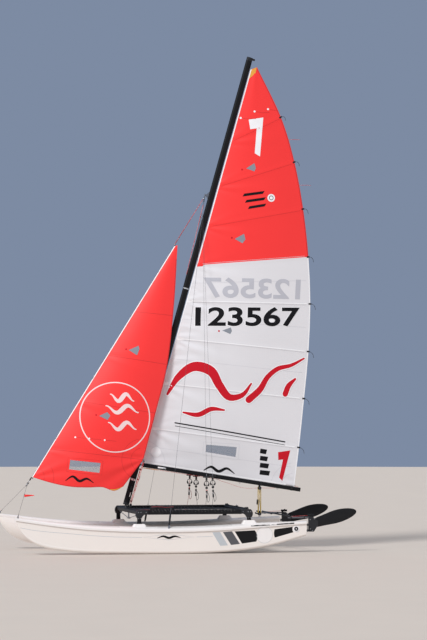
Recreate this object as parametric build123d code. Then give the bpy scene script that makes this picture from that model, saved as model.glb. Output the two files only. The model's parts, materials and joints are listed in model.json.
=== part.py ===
from build123d import *
import os
from math import cos, radians, sin, sqrt

# A two-hulled beach sailing dinghy, parked on its keels with both sails up
# X forward, Y to port, Z up, in millimetres; a station is a distance aft of the bow

# hulls
hull_length = 5050
lip_overhang = 20
lip_height = 38
lip_round = 9
hull_top_margin = 40
turn_share = 0.14
flare_share = 0.3
bilge_bow = 0.2
inner_bow = 0.17
boss_height = 52
boss_rise = 40
boss_length_base = 330
boss_length_top = 190
boss_width_base = 150
boss_width_top = 86
boss_corner = 30

# frame
frame_half_width = 1040
front_pylon_station = 2150
rear_pylon_station = 4065
frame_top = 748
rail_height = 84
rail_width = 54
rail_corner = 24
beam_depth = 66
beam_corner = 28
tube_wall = 3
pylon_length = 74
pylon_width = 44
pylon_socket_depth = 45
casting_width = 84
casting_reach = 150
casting_drop = 52
casting_round = 7
casting_flange = 6
casting_sweep = (18, 34)
casting_back = (20, 14, 50)
spigot_length = 45
running_gap = 0.3

# trampoline and the bag on it
cloth_thickness = 6
trampoline_drop = 42
lacing_gap = 36
bag_station = 2480
bag_offset = 240
bag_length = 430
bag_width = 190
bag_height = 96
bag_corner = 40

# rod and post under the front beam
striker_drop = 92
striker_radius = 6
striker_inset = 40
striker_knee = 60
post_radius = 13
saddle_length = 132
saddle_width = 40
saddle_height = 24

# mast and stays
mast_foot_station = 2100
mast_foot_height = 796
mast_rake = 15.75
mast_length = 8122
mast_chord = 106
mast_thickness = 62
mast_wall = 2.4
mast_tail = 22
flank_taper = 2
groove_width = 4
mast_ball_radius = 19
mast_base_height = 46
mast_cap_height = 60
step_length = 104
step_width = 96
step_thickness = 14
cup_flare = (43, 15, 16)
crane_length = 70
crane_width = 16
crane_lift = 8
crane_overlap = 29
sheave_radius = 17
sheave_width = 20
sheave_behind = 30
hounds_up = 5577
hounds_reach = 116.2
swivel_radius = 5
swivel_length = 26
tang_thickness = 6
tang_collar = 26
tang_foot_low = 60
tang_foot_high = 80
tang_neck = 20
wire_diameter = 4
shroud_spread = 7
stay_drop = 30
shroud_station = 2644
shroud_half_width = 1152
shroud_height = 446
adjuster_length = 262
adjuster_width = 25
adjuster_thickness = 8
adjuster_holes = 9
adjuster_hole_radius = 4
chainplate_thickness = 3
chainplate_reach = 36
chainplate_shift = 4
bridle_station = 372
bridle_height = 1165
bridle_drum_radius = 12
bridle_drum_length = 34
tang_station = 52
tang_hole_radius = 4
tang_width = 26
tang_plate = 3
tang_rise = 34
tang_depth = 24

# boom and mainsheet
luff_offset = 66
gooseneck_up = 742
boom_length = 2830
boom_gap = 33
boom_fall = 83.3
boom_height = 70
boom_width = 46
boom_corner = 20
boom_wall = 2.5
boom_cap = 12
plug_length = 50
gooseneck_pin_radius = 4
gooseneck_plate = 60
lug_thickness = 8
plate_thickness = 3
arm_overlap = 8
eye_radius = 9.5
eye_height = 18
sheet_out = 2140
fall_count = 3
fall_pitch = 15
rope_radius = 4.5
fall_length = 450
cheek_plate = 3
block_radius = 31
sheave_groove = 19
sheave_rim = 25
block_drop = 46
strap_width = 24
strap_overlap = 2
fork_drop = 8
track_length = 1500
track_width = 26
track_neck = 10
track_height = 12
track_flange = 3
car_length = 70
car_width = 44
car_height = 20

# sails
sail_thickness = 5
foot_gap = 0.3
tack_out = 6
leech_out_clew = 2762
jib_tack_up = 150
jib_luff = 4790

# rudders and tillers
rudder_half_width = 1060
pintle_station = 5092
pintle_radius = 5
gudgeon_low = 372
gudgeon_high = 470
gudgeon_thickness = 5
gudgeon_width = 26
gudgeon_eye = 13
gudgeon_flange = (30, 128)
head_margin = 20
head_corner = 14
spine_depth = 24
spine_ahead = 16
cheek_top = (90, 10)
cheek_corner = (48, 26)
cheek_aft = (44, 40)
cheek_foot = 110
lug_width = 20
pintle_length = 148
blade_pivot_back = 138
blade_pivot_up = 84
blade_angle = 15
blade_length = 722
blade_tip_round = 30
blade_top = [(150, 96), (430, 118), (652, 70)]
blade_foot = [(662, -70), (350, -110), (100, -84)]
blade_heel = [(-40, -56), (-72, -8), (-52, 40)]
blade_thickness = 22
blade_edge = 4
blade_half_chord = 107
cheek_thickness = 7
cheek_gap = 1
pivot_bolt_radius = 5
bolt_end = 4
tiller_height = 598
tiller_reach = 330
tiller_tube = 26
tiller_corner = 7
tiller_wall = 2.2
tiller_end = 18
tiller_pin_radius = 5
pin_head_radius = 9
pin_head = 4
crossbar_radius = 12
crossbar_end = 20
far_pin_gap = 2
extension_length = 1200
extension_tube = 20
extension_ahead = 80
link_width = 16
link_height = 12

blade_pivot_station = pintle_station + blade_pivot_back
blade_pivot_height = (gudgeon_low + gudgeon_high) / 2 + blade_pivot_up
blade_tip_station = blade_pivot_station + (blade_length + blade_tip_round) * cos(radians(blade_angle))
mid_station = blade_tip_station / 2
rake = radians(mast_rake)

# station, keel height, outer side y, keel y, inner side y
hull_sections = [
    (22, 556, 1112, 1104, 1096),
    (60, 466, 1115, 1104, 1091),
    (120, 371, 1119, 1104, 1082),
    (215, 273, 1124, 1105, 1069),
    (365, 178, 1131, 1107, 1049),
    (600, 100, 1141, 1110, 1022),
    (960, 48, 1155, 1116, 985),
    (1500, 18, 1171, 1123, 938),
    (2250, 3.5, 1182, 1128, 902),
    (3100, 3.5, 1184, 1130, 893),
    (3900, 42, 1180, 1127, 906),
    (4550, 151, 1172, 1119, 935),
    (5050, 286, 1163, 1110, 966),
]

# station, crown of the deck above the lip
deck_sections = [
    (0, 6), (300, 18), (750, 30), (1400, 42), (2200, 50), (3100, 50), (3950, 40), (4600, 22), (5050, 10),
]

# station and height of the underside of the deck lip, as three arcs
sheer_points = [
    (-60, 595), (500, 508), (1200, 424),
    (2500, 372), (3700, 402),
    (4400, 452), (5110, 496),
]

bottom = (Align.CENTER, Align.CENTER, Align.MIN)
hanging = (Align.CENTER, Align.CENTER, Align.MAX)


def at(station, y, z):
    return Vector(mid_station - station, y, z)


def mast_place(forward=0, port=0, up=0):
    x = mid_station - mast_foot_station + forward * cos(rake) - up * sin(rake)
    return Vector(x, port, mast_foot_height + forward * sin(rake) + up * cos(rake))


mast_plane = Plane(
    origin=mast_place(), x_dir=Vector(cos(rake), 0, sin(rake)), z_dir=Vector(-sin(rake), 0, cos(rake))
)


def save(name, shape):
    export_step(shape, "parts/" + name + ".step")


def both_sides(name, shape):
    save(name + "_port", shape)
    save(name + "_starboard", mirror(shape, about=Plane.XZ))


def across(radius, length):
    # a cylinder along Y
    return Rot(90, 0, 0) * Cylinder(radius, length)


def tube_profile(width, height, corner, wall):
    outer = RectangleRounded(width, height, corner)
    return outer - RectangleRounded(width - 2 * wall, height - 2 * wall, corner - wall)


# hulls and decks

def sheer_at(station):
    for (s1, z1), (s2, z2), (s3, z3) in (sheer_points[0:3], sheer_points[2:5], sheer_points[4:7]):
        if station <= s3 or s3 == sheer_points[-1][0]:
            share1 = (station - s2) * (station - s3) / ((s1 - s2) * (s1 - s3))
            share2 = (station - s1) * (station - s3) / ((s2 - s1) * (s2 - s3))
            share3 = (station - s1) * (station - s2) / ((s3 - s1) * (s3 - s2))
            return z1 * share1 + z2 * share2 + z3 * share3


def above_sheer():
    # everything over the line where the deck's lip meets the hull
    p = [at(station, 0, z) for station, z in sheer_points]
    arcs = [ThreePointArc(*p[i:i + 3]) for i in (0, 2, 4)]
    roof_height = 2 * p[0].Z
    roof = Polyline(p[-1], Vector(p[-1].X, 0, roof_height), Vector(p[0].X, 0, roof_height), p[0])
    return extrude(make_face(arcs + [roof]), amount=2 * frame_half_width, both=True)


def bowed(start, end, share):
    # an arc across the hull whose depth is a share of its chord, bulging outwards
    outwards = (end - start).cross(Vector(-1, 0, 0))
    return ThreePointArc(start, (start + end) * 0.5 + outwards * share, end)


def hull_section(station, keel, outer, keel_y, inner):
    top = sheer_at(station) + hull_top_margin
    turn = turn_share * (top - keel)
    a = at(station, outer, top)
    b = at(station, outer - flare_share * (outer - keel_y), keel + turn)
    c = at(station, keel_y, keel)
    d = at(station, inner, top)
    return make_face([Line(a, b), bowed(b, c, bilge_bow), bowed(c, d, inner_bow), Line(d, a)])


def hull():
    return loft([hull_section(*row) for row in hull_sections]) - above_sheer()


def half_breadths(station):
    # outer and inner edge of the deck at a station
    rows = [(row[0], row[2], row[4]) for row in hull_sections]
    outer, inner = rows[-1][1:]
    for (s1, outer1, inner1), (s2, outer2, inner2) in zip(rows, rows[1:]):
        if station <= s2:
            t = max(0, (station - s1) / (s2 - s1))
            outer, inner = outer1 + t * (outer2 - outer1), inner1 + t * (inner2 - inner1)
            break
    return outer + lip_overhang, inner - lip_overhang


def lip_corner(station, y, top, side):
    # a quarter round from the lip's side to the deck; side is 1 at the outer edge
    r = lip_round
    turn = r * (1 - sqrt(0.5))
    start, end = at(station, y, top - r), at(station, y - side * r, top)
    return start, end, ThreePointArc(start, at(station, y - side * turn, top - turn), end)


def deck_section(station, crown):
    outer, inner = half_breadths(station)
    low = sheer_at(station) - hull_top_margin
    top = sheer_at(station) + lip_height
    a, f = at(station, outer, low), at(station, inner, low)
    b, c, outer_corner = lip_corner(station, outer, top, 1)
    e, d, inner_corner = lip_corner(station, inner, top, -1)
    crown_arc = ThreePointArc(c, at(station, (outer + inner) / 2, top + crown), d)
    return make_face([Line(a, b), outer_corner, crown_arc, inner_corner, Line(e, f), Line(f, a)])


def boss_top(station):
    return sheer_at(station) + lip_height + boss_rise + boss_height


def boss(station):
    top = boss_top(station)
    low = Plane(origin=at(station, frame_half_width, top - 2 * boss_height))
    high = Plane(origin=at(station, frame_half_width, top))
    base = low * RectangleRounded(boss_length_base, boss_width_base, boss_corner)
    return loft([base, high * RectangleRounded(boss_length_top, boss_width_top, boss_corner)])


def pylon_base(station):
    return boss_top(station) - pylon_socket_depth


def pylon_socket(station):
    plane = Plane(origin=at(station, frame_half_width, pylon_base(station)))
    outline = SlotOverall(pylon_length + 2 * running_gap, pylon_width + 2 * running_gap)
    return extrude(plane * outline, amount=2 * boss_height)


def deck():
    roof = above_sheer()
    body = loft([deck_section(*row) for row in deck_sections]) & roof
    for station in (front_pylon_station, rear_pylon_station):
        body = body + (boss(station) & roof)
        body = body - pylon_socket(station)
    return body - chainplate_blank(running_gap) - bow_tang_blank(running_gap)


# frame

casting_bottom = frame_top - rail_height - casting_drop
rail_start = front_pylon_station + casting_reach
rail_end = rear_pylon_station - casting_reach
beam_end = frame_half_width - casting_width / 2
rail_middle = frame_top - rail_height / 2
cloth_top = frame_top - trampoline_drop


def pylon(station):
    plane = Plane(origin=at(station, frame_half_width, pylon_base(station)))
    height = casting_bottom - pylon_base(station)
    return extrude(plane * SlotOverall(pylon_length, pylon_width), amount=height)


def spigot(plane, width, height, corner):
    # a plug a little smaller than the tube that slides over it
    slim = 2 * (tube_wall + running_gap)
    outline = RectangleRounded(width - slim, height - slim, corner - slim / 2)
    return extrude(plane * outline, amount=spigot_length)


def casting(station, direction):
    # a flared leg that sweeps up into the side rail, with a spigot for the rail and one for the beam
    def p(ahead, z):
        return at(station + direction * ahead, 0, z)
    half = pylon_length / 2 + casting_flange
    out, up = casting_sweep
    corner, bulge, drop = casting_back
    low, rail_low, top = casting_bottom, frame_top - rail_height, frame_top
    outline = [
        Line(p(-half, low), p(half, low)),
        ThreePointArc(p(half, low), p(half + out, low + up), p(casting_reach, rail_low)),
        Line(p(casting_reach, rail_low), p(casting_reach, top)),
        Line(p(casting_reach, top), p(corner - half, top)),
        ThreePointArc(p(corner - half, top), p(-half - bulge, top - drop), p(-half, low)),
    ]
    solid = extrude(make_face(outline), amount=casting_width / 2, both=True)
    outer_rim = solid.faces().sort_by(Axis.Y)[-1].edges()
    solid = Pos(0, frame_half_width, 0) * fillet(outer_rim, casting_round)
    rail_plane = Plane(
        origin=at(station + direction * casting_reach, frame_half_width, rail_middle),
        x_dir=(0, 1, 0), z_dir=(-direction, 0, 0)
    )
    beam_plane = Plane(origin=at(station, beam_end, rail_middle), x_dir=(1, 0, 0), z_dir=(0, -1, 0))
    rail_spigot = spigot(rail_plane, rail_width, rail_height, rail_corner)
    return solid + rail_spigot + spigot(beam_plane, beam_depth, rail_height, beam_corner)


def side_rail():
    plane = Plane(origin=at(rail_end, frame_half_width, rail_middle), x_dir=(0, 1, 0), z_dir=(1, 0, 0))
    profile = tube_profile(rail_width, rail_height, rail_corner, tube_wall)
    return extrude(plane * profile, amount=rail_end - rail_start)


def crossbar_beam(station):
    plane = Plane(origin=at(station, -beam_end, rail_middle), x_dir=(1, 0, 0), z_dir=(0, 1, 0))
    profile = tube_profile(beam_depth, rail_height, beam_corner, tube_wall)
    return extrude(plane * profile, amount=2 * beam_end)


def trampoline():
    # two halves laced together down the middle, cut out round the corner castings
    fore = front_pylon_station + beam_depth / 2 + running_gap
    aft = rear_pylon_station - beam_depth / 2 - running_gap
    side = frame_half_width - rail_width / 2 - running_gap
    corner = beam_end - running_gap
    front, back = rail_start + running_gap, rail_end - running_gap
    outline = [
        (fore, lacing_gap / 2), (fore, corner), (front, corner), (front, side),
        (back, side), (back, corner), (aft, corner), (aft, lacing_gap / 2),
    ]
    corners = [at(station, y, cloth_top - cloth_thickness) for station, y in outline]
    panel = extrude(make_face(Polyline(*corners, close=True)), amount=cloth_thickness, dir=(0, 0, 1))
    return Compound([panel, mirror(panel, about=Plane.XZ)])


def bag():
    middle = cloth_top + bag_height / 2 + foot_gap
    plane = Plane(origin=at(bag_station, bag_offset, middle), x_dir=(0, 1, 0), z_dir=(-1, 0, 0))
    return extrude(plane * RectangleRounded(bag_width, bag_height, bag_corner), amount=bag_length)


def striker():
    # a rod under the front beam, pushed down at the middle by a post below the mast
    beam_bottom = frame_top - rail_height
    low = beam_bottom - striker_drop
    end = at(front_pylon_station, beam_end - striker_inset, beam_bottom)
    knee = at(front_pylon_station, striker_knee, low)
    far_knee, far_end = [Vector(p.X, -p.Y, p.Z) for p in (knee, end)]
    start = Plane(origin=end, z_dir=(knee - end))
    path = Polyline(end, knee, far_knee, far_end)
    rod = sweep(start * Circle(striker_radius), path=path, transition=Transition.RIGHT)
    middle = Pos(at(front_pylon_station, 0, low))
    post = middle * Cylinder(post_radius, striker_drop, align=bottom)
    saddle = middle * Box(saddle_width, saddle_length, saddle_height)
    beam_room = Pos(at(front_pylon_station, 0, beam_bottom)) * Box(
        2 * beam_depth, 2 * frame_half_width, rail_height, align=bottom
    )
    return (rod + post + saddle) - beam_room


# mast

def mast_step():
    foot = at(mast_foot_station, 0, mast_foot_height)
    base = Box(step_length, step_width, step_thickness, align=bottom)
    base = Pos(at(front_pylon_station, 0, frame_top)) * base
    neck_height = mast_foot_height - frame_top
    neck = Pos(at(mast_foot_station, 0, frame_top)) * Cone(
        1.6 * mast_ball_radius, 0.9 * mast_ball_radius, neck_height, align=bottom
    )
    return base + neck + Pos(foot) * Sphere(mast_ball_radius)


def mast_section(shrink=0):
    # a round nose forward, straight flanks that taper, and a blunt tail with the luff groove
    nose = mast_thickness / 2 - shrink
    front, tail = mast_chord / 2 - shrink, shrink - mast_chord / 2
    half_tail = mast_tail / 2 - 0.6 * shrink
    centre = front - nose
    shoulder, shoulder_half = centre - mast_chord / 3, nose - flank_taper
    flanks = Polyline(
        (centre, -nose), (shoulder, -shoulder_half), (tail, -half_tail),
        (tail, half_tail), (shoulder, shoulder_half), (centre, nose)
    )
    return make_face(ThreePointArc((centre, nose), (front, 0), (centre, -nose)) + flanks)


mast_tube = mast_length - mast_base_height - mast_cap_height


def mast():
    outer = extrude(mast_section(), amount=mast_tube)
    inner = extrude(mast_section(mast_wall), amount=mast_tube)
    groove = Pos(-mast_chord / 2, 0, 0) * Box(3 * mast_wall, groove_width, mast_tube, align=bottom)
    return mast_plane * (Pos(0, 0, mast_base_height) * (outer - inner - groove))


def mast_base():
    # a casting with a cup on the step's ball, flared so that it can turn and be tipped
    cap = extrude(mast_section(), amount=mast_base_height)
    cup = Sphere(mast_ball_radius + running_gap)
    flare = Cone(*cup_flare, align=bottom)
    below = Box(3 * mast_chord, 3 * mast_chord, mast_base_height, align=hanging)
    return mast_plane * (cap - cup - below - flare)


def mast_head():
    # a cap with a crane at the back that holds the halyard sheave
    cap = extrude(mast_section(), amount=mast_cap_height)
    up = mast_cap_height / 2 + crane_lift
    back = -mast_chord / 2
    crane_middle = back + crane_overlap - crane_length / 2
    crane = Pos(crane_middle, 0, up) * Box(crane_length, crane_width, 2 * sheave_radius)
    sheave = Pos(back - sheave_behind, 0, up) * across(sheave_radius, sheave_width)
    return mast_plane * (Pos(0, 0, mast_base_height + mast_tube) * (cap + crane + sheave))


# stays

def turn_axis():
    # the mast turns on the line from its foot to the eye that the stays pull on
    foot = at(mast_foot_station, 0, mast_foot_height)
    eye = mast_place(hounds_reach, 0, hounds_up)
    return foot, eye, (eye - foot).normalized()


def hounds_plane():
    _, eye, axis = turn_axis()
    return Plane(origin=eye, z_dir=axis)


def mast_tang():
    # a plate on the mast's front face that reaches forward to the turning line
    front, reach, up = mast_chord / 2, hounds_reach, hounds_up
    half = tang_collar / 2 - running_gap
    near = reach - tang_neck
    outline = [
        (front, up - tang_foot_low), (front, up + tang_foot_high), (near, up + half),
        (reach, up + half), (reach, up - half), (near, up - half),
    ]
    face = make_face(Polyline(*[Vector(u, 0, w) for u, w in outline], close=True))
    web = mast_plane * extrude(face, amount=tang_thickness / 2, both=True)
    collar = hounds_plane() * Cylinder(2 * swivel_radius + 1, tang_collar)
    hole = hounds_plane() * Cylinder(swivel_radius + running_gap, 3 * tang_collar)
    return web + collar - hole


def hounds_swivel():
    # the pin through the tang, and the ring below it that all three stays end in
    plane = hounds_plane()
    half = tang_collar / 2 + running_gap
    pin = plane * (Pos(0, 0, -half) * Cylinder(swivel_radius, 2 * half, align=bottom))
    head = plane * (Pos(0, 0, half) * Cylinder(2 * swivel_radius, swivel_radius, align=bottom))
    ring = plane * (Pos(0, 0, -half) * Cylinder(2 * swivel_radius + 3, swivel_length, align=hanging))
    return pin + head + ring


def wire(start, end):
    plane = Plane(origin=start, z_dir=(end - start))
    return plane * Cylinder(wire_diameter / 2, (end - start).length, align=bottom)


def hounds_point():
    _, eye, axis = turn_axis()
    return eye - axis * stay_drop


def adjuster_plane():
    foot = at(shroud_station, shroud_half_width, shroud_height)
    top = hounds_point() + Vector(0, shroud_spread, 0)
    return Plane(origin=foot, x_dir=(1, 0, 0), z_dir=(top - foot))


def shroud():
    plane = adjuster_plane()
    start = plane.origin + plane.z_dir * adjuster_length
    return wire(start, hounds_point() + Vector(0, shroud_spread, 0)) - hounds_swivel()


def shroud_adjuster():
    plane = adjuster_plane()
    body = plane * Box(adjuster_width, adjuster_thickness, adjuster_length, align=bottom)
    for step in range(1, adjuster_holes):
        up = step * adjuster_length / adjuster_holes
        body = body - plane * (Pos(0, 0, up) * across(adjuster_hole_radius, 3 * adjuster_thickness))
    return body


def chainplate_blank(extra=0):
    side = adjuster_thickness / 2 + running_gap + chainplate_thickness / 2
    blank = Box(
        adjuster_width + 2 * extra, chainplate_thickness + 2 * extra, 2 * (chainplate_reach + extra)
    )
    return adjuster_plane() * (Pos(0, side, chainplate_shift) * blank)


def chainplate():
    pin_up = adjuster_length / adjuster_holes
    pin = Pos(0, 0, pin_up) * across(adjuster_hole_radius - running_gap, 2 * adjuster_thickness)
    return chainplate_blank() + adjuster_plane() * pin


def bow_tang_point():
    y = sum(half_breadths(tang_station)) / 2
    return at(tang_station, y, sheer_at(tang_station) + lip_height + tang_rise)


def bow_tang_blank(extra=0):
    plate = Box(
        tang_width + 2 * extra, tang_plate + 2 * extra, tang_rise + tang_depth + extra, align=hanging
    )
    return Pos(bow_tang_point()) * plate


def bow_tang():
    eye = Pos(bow_tang_point()) * across(tang_width / 2, tang_plate)
    hole = Pos(bow_tang_point()) * across(tang_hole_radius, 3 * tang_plate)
    return bow_tang_blank() + eye - hole


def bridle_apex():
    return at(bridle_station, 0, bridle_height)


def forestay_direction():
    return (hounds_point() - bridle_apex()).normalized()


def bridle_shackle():
    # the drum where both bridle wires and the forestay meet
    plane = Plane(origin=bridle_apex(), z_dir=forestay_direction())
    return plane * Cylinder(bridle_drum_radius, bridle_drum_length)


def bridle():
    start = bow_tang_point()
    direction = (bridle_apex() - start).normalized()
    return wire(start + direction * (tang_width / 2 + 1), bridle_apex()) - bridle_shackle()


def forestay():
    return wire(bridle_apex(), hounds_point()) - hounds_swivel() - bridle_shackle()


# sails

# luff height, leech station, leech height, leech y, depth of the curve
main_rows = [
    (2129, 5179, 1780, 15, 74),
    (3560, 5345, 3460, 40, 136),
    (4965, 5340, 5120, 60, 118),
    (6359, 5170, 6370, 60, 84),
    (7540, 4840, 7570, 40, 40),
    (8400, 4430, 8445, 4, 6),
]
foot_depth = 8

# share of the luff, leech station, leech height, leech y, depth of the curve
jib_rows = [
    (0.000, 2022, 1122, 190, 60),
    (0.085, 2371, 1585, 214, 96),
    (0.240, 2590, 2400, 186, 120),
    (0.480, 2838, 3333, 142, 100),
    (0.720, 2938, 4321, 84, 52),
    (0.985, 3010, 5314, 16, 6),
]


def cloth_section(luff, leech, depth):
    # two like arcs from luff to leech, the cloth's thickness apart
    middle = (luff + leech) * 0.5 + Vector(0, depth, 0)
    shift = Vector(0, sail_thickness, 0)
    outer = ThreePointArc(luff + shift, middle + shift, leech + shift)
    inner = ThreePointArc(leech, middle, luff)
    return make_face([outer, Line(leech + shift, leech), inner, Line(luff, luff + shift)])


def luff_point(z):
    # on the line of the mast's luff groove, at height z
    up = (z - mast_foot_height + luff_offset * sin(rake)) / cos(rake)
    return mast_place(-luff_offset, -sail_thickness / 2, up)


def mainsail():
    origin = boom_origin() + boom_up() * (boom_height / 2 + foot_gap) - Vector(0, sail_thickness / 2, 0)
    tack, clew = origin + boom_direction() * tack_out, origin + boom_direction() * leech_out_clew
    sections = [cloth_section(tack, clew, foot_depth)]
    for luff_z, station, z, y, depth in main_rows:
        sections.append(cloth_section(luff_point(luff_z), at(station, y, z), depth))
    return loft(sections)


def jib():
    direction = forestay_direction()
    behind = Vector(-direction.Z, 0, direction.X)
    offset = behind * (wire_diameter / 2 + running_gap) - Vector(0, sail_thickness / 2, 0)
    sections = []
    for share, station, z, y, depth in jib_rows:
        luff = bridle_apex() + direction * (jib_tack_up + share * jib_luff) + offset
        sections.append(cloth_section(luff, at(station, y, z), depth))
    return loft(sections)


# boom

def boom_direction():
    fall = radians(boom_fall) + rake
    return Vector(-sin(fall), 0, cos(fall))


def boom_up():
    d = boom_direction()
    return Vector(d.Z, 0, -d.X)


def boom_origin():
    # on the hinge line, at the middle of the boom's height
    return mast_place(-luff_offset, 0, gooseneck_up)


def boom_plane(out):
    return Plane(origin=boom_origin() + boom_direction() * out, x_dir=(0, 1, 0), z_dir=boom_direction())


def boom():
    profile = tube_profile(boom_width, boom_height, boom_corner, boom_wall)
    tube = extrude(boom_plane(boom_gap) * profile, amount=boom_length)
    cap = boom_plane(boom_gap + boom_length) * RectangleRounded(boom_width, boom_height, boom_corner)
    return tube + extrude(cap, amount=boom_cap)


def hinge_plane():
    return Plane(origin=boom_origin(), x_dir=mast_plane.x_dir, z_dir=mast_plane.z_dir)


def boom_tongue():
    # the boom's front plug, with the eye that turns on the gooseneck pin
    hollow = 2 * boom_wall
    inside = RectangleRounded(boom_width - hollow, boom_height - hollow, boom_corner - boom_wall)
    plug = extrude(boom_plane(boom_gap) * inside, amount=plug_length)
    arm_length = boom_gap + arm_overlap
    arm = Pos(-arm_length / 2, 0, 0) * Box(arm_length, eye_height, eye_height)
    hole = Cylinder(gooseneck_pin_radius + running_gap, 3 * eye_height)
    return plug + hinge_plane() * (Cylinder(eye_radius, eye_height) + arm - hole)


def gooseneck():
    # a slide on the mast's back edge with two lugs and the pin the boom turns on
    back = luff_offset - mast_chord / 2
    lug = Pos((back - eye_radius) / 2, 0, 0) * Box(back + eye_radius, 2 * eye_radius, lug_thickness)
    lift = (eye_height + lug_thickness) / 2 + running_gap
    against_mast = (Align.MAX, Align.CENTER, Align.CENTER)
    plate = Pos(back, 0, 0) * Box(
        plate_thickness, 2 * eye_radius, gooseneck_plate, align=against_mast
    )
    pin = Cylinder(gooseneck_pin_radius, 2 * (lift + lug_thickness / 2))
    return hinge_plane() * (plate + Pos(0, 0, lift) * lug + Pos(0, 0, -lift) * lug + pin)


# mainsheet

def sheet_point():
    return boom_origin() + boom_direction() * sheet_out - boom_up() * (boom_height / 2)


def upper_centre():
    return sheet_point() + Vector(0, 0, -block_drop)


def lower_centre():
    return upper_centre() + Vector(0, 0, -fall_length)


def fall_offsets():
    return [(number - (fall_count - 1) / 2) * fall_pitch for number in range(fall_count)]


def block(centre):
    # grooved sheaves side by side on one pin, between two cheeks
    width = fall_count * fall_pitch
    body = across(sheave_rim, width)
    for y in fall_offsets():
        groove = Rot(90, 0, 0) * Torus(sheave_groove + rope_radius + running_gap, rope_radius + running_gap)
        ring = across(sheave_rim + 1, 2 * rope_radius) - across(sheave_groove + rope_radius, 3 * rope_radius)
        body = body - Pos(0, y, 0) * groove - Pos(0, y, 0) * ring
    for side in (-1, 1):
        body = body + Pos(0, side * (width + cheek_plate) / 2, 0) * across(block_radius, cheek_plate)
    return Pos(centre) * body


def boom_block():
    # the upper block hangs from a strap that ends in a fork over its cheeks
    width = fall_count * fall_pitch + 2 * cheek_plate
    strap_top = Plane(origin=sheet_point(), x_dir=boom_direction(), z_dir=boom_up())
    strap = strap_top * Box(strap_width, width, block_drop - block_radius + strap_overlap, align=hanging)
    fork = []
    for side in (-1, 1):
        y = side * (width - cheek_plate) / 2
        side_arm = Box(strap_width, cheek_plate, block_drop - fork_drop, align=bottom)
        fork.append(Pos(upper_centre() + Vector(0, y, 0)) * side_arm)
    return block(upper_centre()) + strap + fork[0] + fork[1]


def mainsheet_falls():
    # one closed loop of rope round each pair of sheaves
    radius = sheave_groove + rope_radius + running_gap
    loops = []
    for y in fall_offsets():
        top, low = upper_centre() + Vector(0, y, 0), lower_centre() + Vector(0, y, 0)
        out, over = Vector(radius, 0, 0), Vector(0, 0, radius)
        path = Wire([
            Edge.make_line(low - out, top - out),
            Edge.make_three_point_arc(top - out, top + over, top + out),
            Edge.make_line(top + out, low + out),
            Edge.make_three_point_arc(low + out, low - over, low - out),
        ])
        loops.append(sweep(Plane(origin=low - out, z_dir=(0, 0, 1)) * Circle(rope_radius), path=path))
    return Compound(loops)


def track_profile(extra=0):
    # a T on its side edge: base, neck and head, as seen along the track
    base = Box(track_width, track_length, track_flange, align=bottom)
    neck = Box(track_neck + 2 * extra, track_length + 2 * extra, track_height, align=bottom)
    head_size = track_flange + 2 * extra
    head = Pos(0, 0, track_height - track_flange - extra) * Box(
        track_width + 2 * extra, track_length + 2 * extra, head_size, align=bottom
    )
    return base + neck + head


def traveller_track():
    return Pos(at(rear_pylon_station, 0, frame_top)) * track_profile()


def traveller_car():
    place = Pos(at(rear_pylon_station, 0, frame_top))
    above_base = track_flange + running_gap
    body = Pos(0, 0, above_base) * Box(car_width, car_length, car_height, align=bottom)
    return place * (body - track_profile(running_gap))


# rudders

def gudgeon():
    reach = pintle_station - hull_length
    on_transom = (Align.MAX, Align.CENTER, Align.CENTER)
    transom = mid_station - hull_length
    middle = (gudgeon_low + gudgeon_high) / 2
    shape = Pos(transom, rudder_half_width, middle) * Box(
        plate_thickness, *gudgeon_flange, align=on_transom
    )
    for z in (gudgeon_low, gudgeon_high):
        arm = Box(reach, gudgeon_width, gudgeon_thickness, align=on_transom)
        arm = Pos(transom, rudder_half_width, z) * arm
        eye_place = Pos(at(pintle_station, rudder_half_width, z))
        shape = shape + arm + eye_place * Cylinder(gudgeon_eye, gudgeon_thickness)
        shape = shape - eye_place * Cylinder(pintle_radius + running_gap, 3 * gudgeon_thickness)
    return shape


cheek_offset = blade_thickness / 2 + cheek_gap + cheek_thickness / 2
head_bottom = gudgeon_low - head_margin
head_top = tiller_height + head_margin
head_width = 2 * cheek_offset + cheek_thickness
spine_front = pintle_station + spine_ahead


def cheek():
    top, corner, aft = cheek_top, cheek_corner, cheek_aft
    outline = make_face(Polyline(
        at(spine_front, 0, head_bottom), at(spine_front, 0, head_top),
        at(pintle_station + top[0], 0, head_top - top[1]),
        at(blade_pivot_station + corner[0], 0, blade_pivot_height + corner[1]),
        at(blade_pivot_station + aft[0], 0, blade_pivot_height - aft[1]),
        at(pintle_station + cheek_foot, 0, head_bottom), close=True
    ))
    aft_corners = outline.vertices().sort_by(Axis.X)[0:4]
    return extrude(fillet(aft_corners, head_corner), amount=cheek_thickness / 2, both=True)


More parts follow.
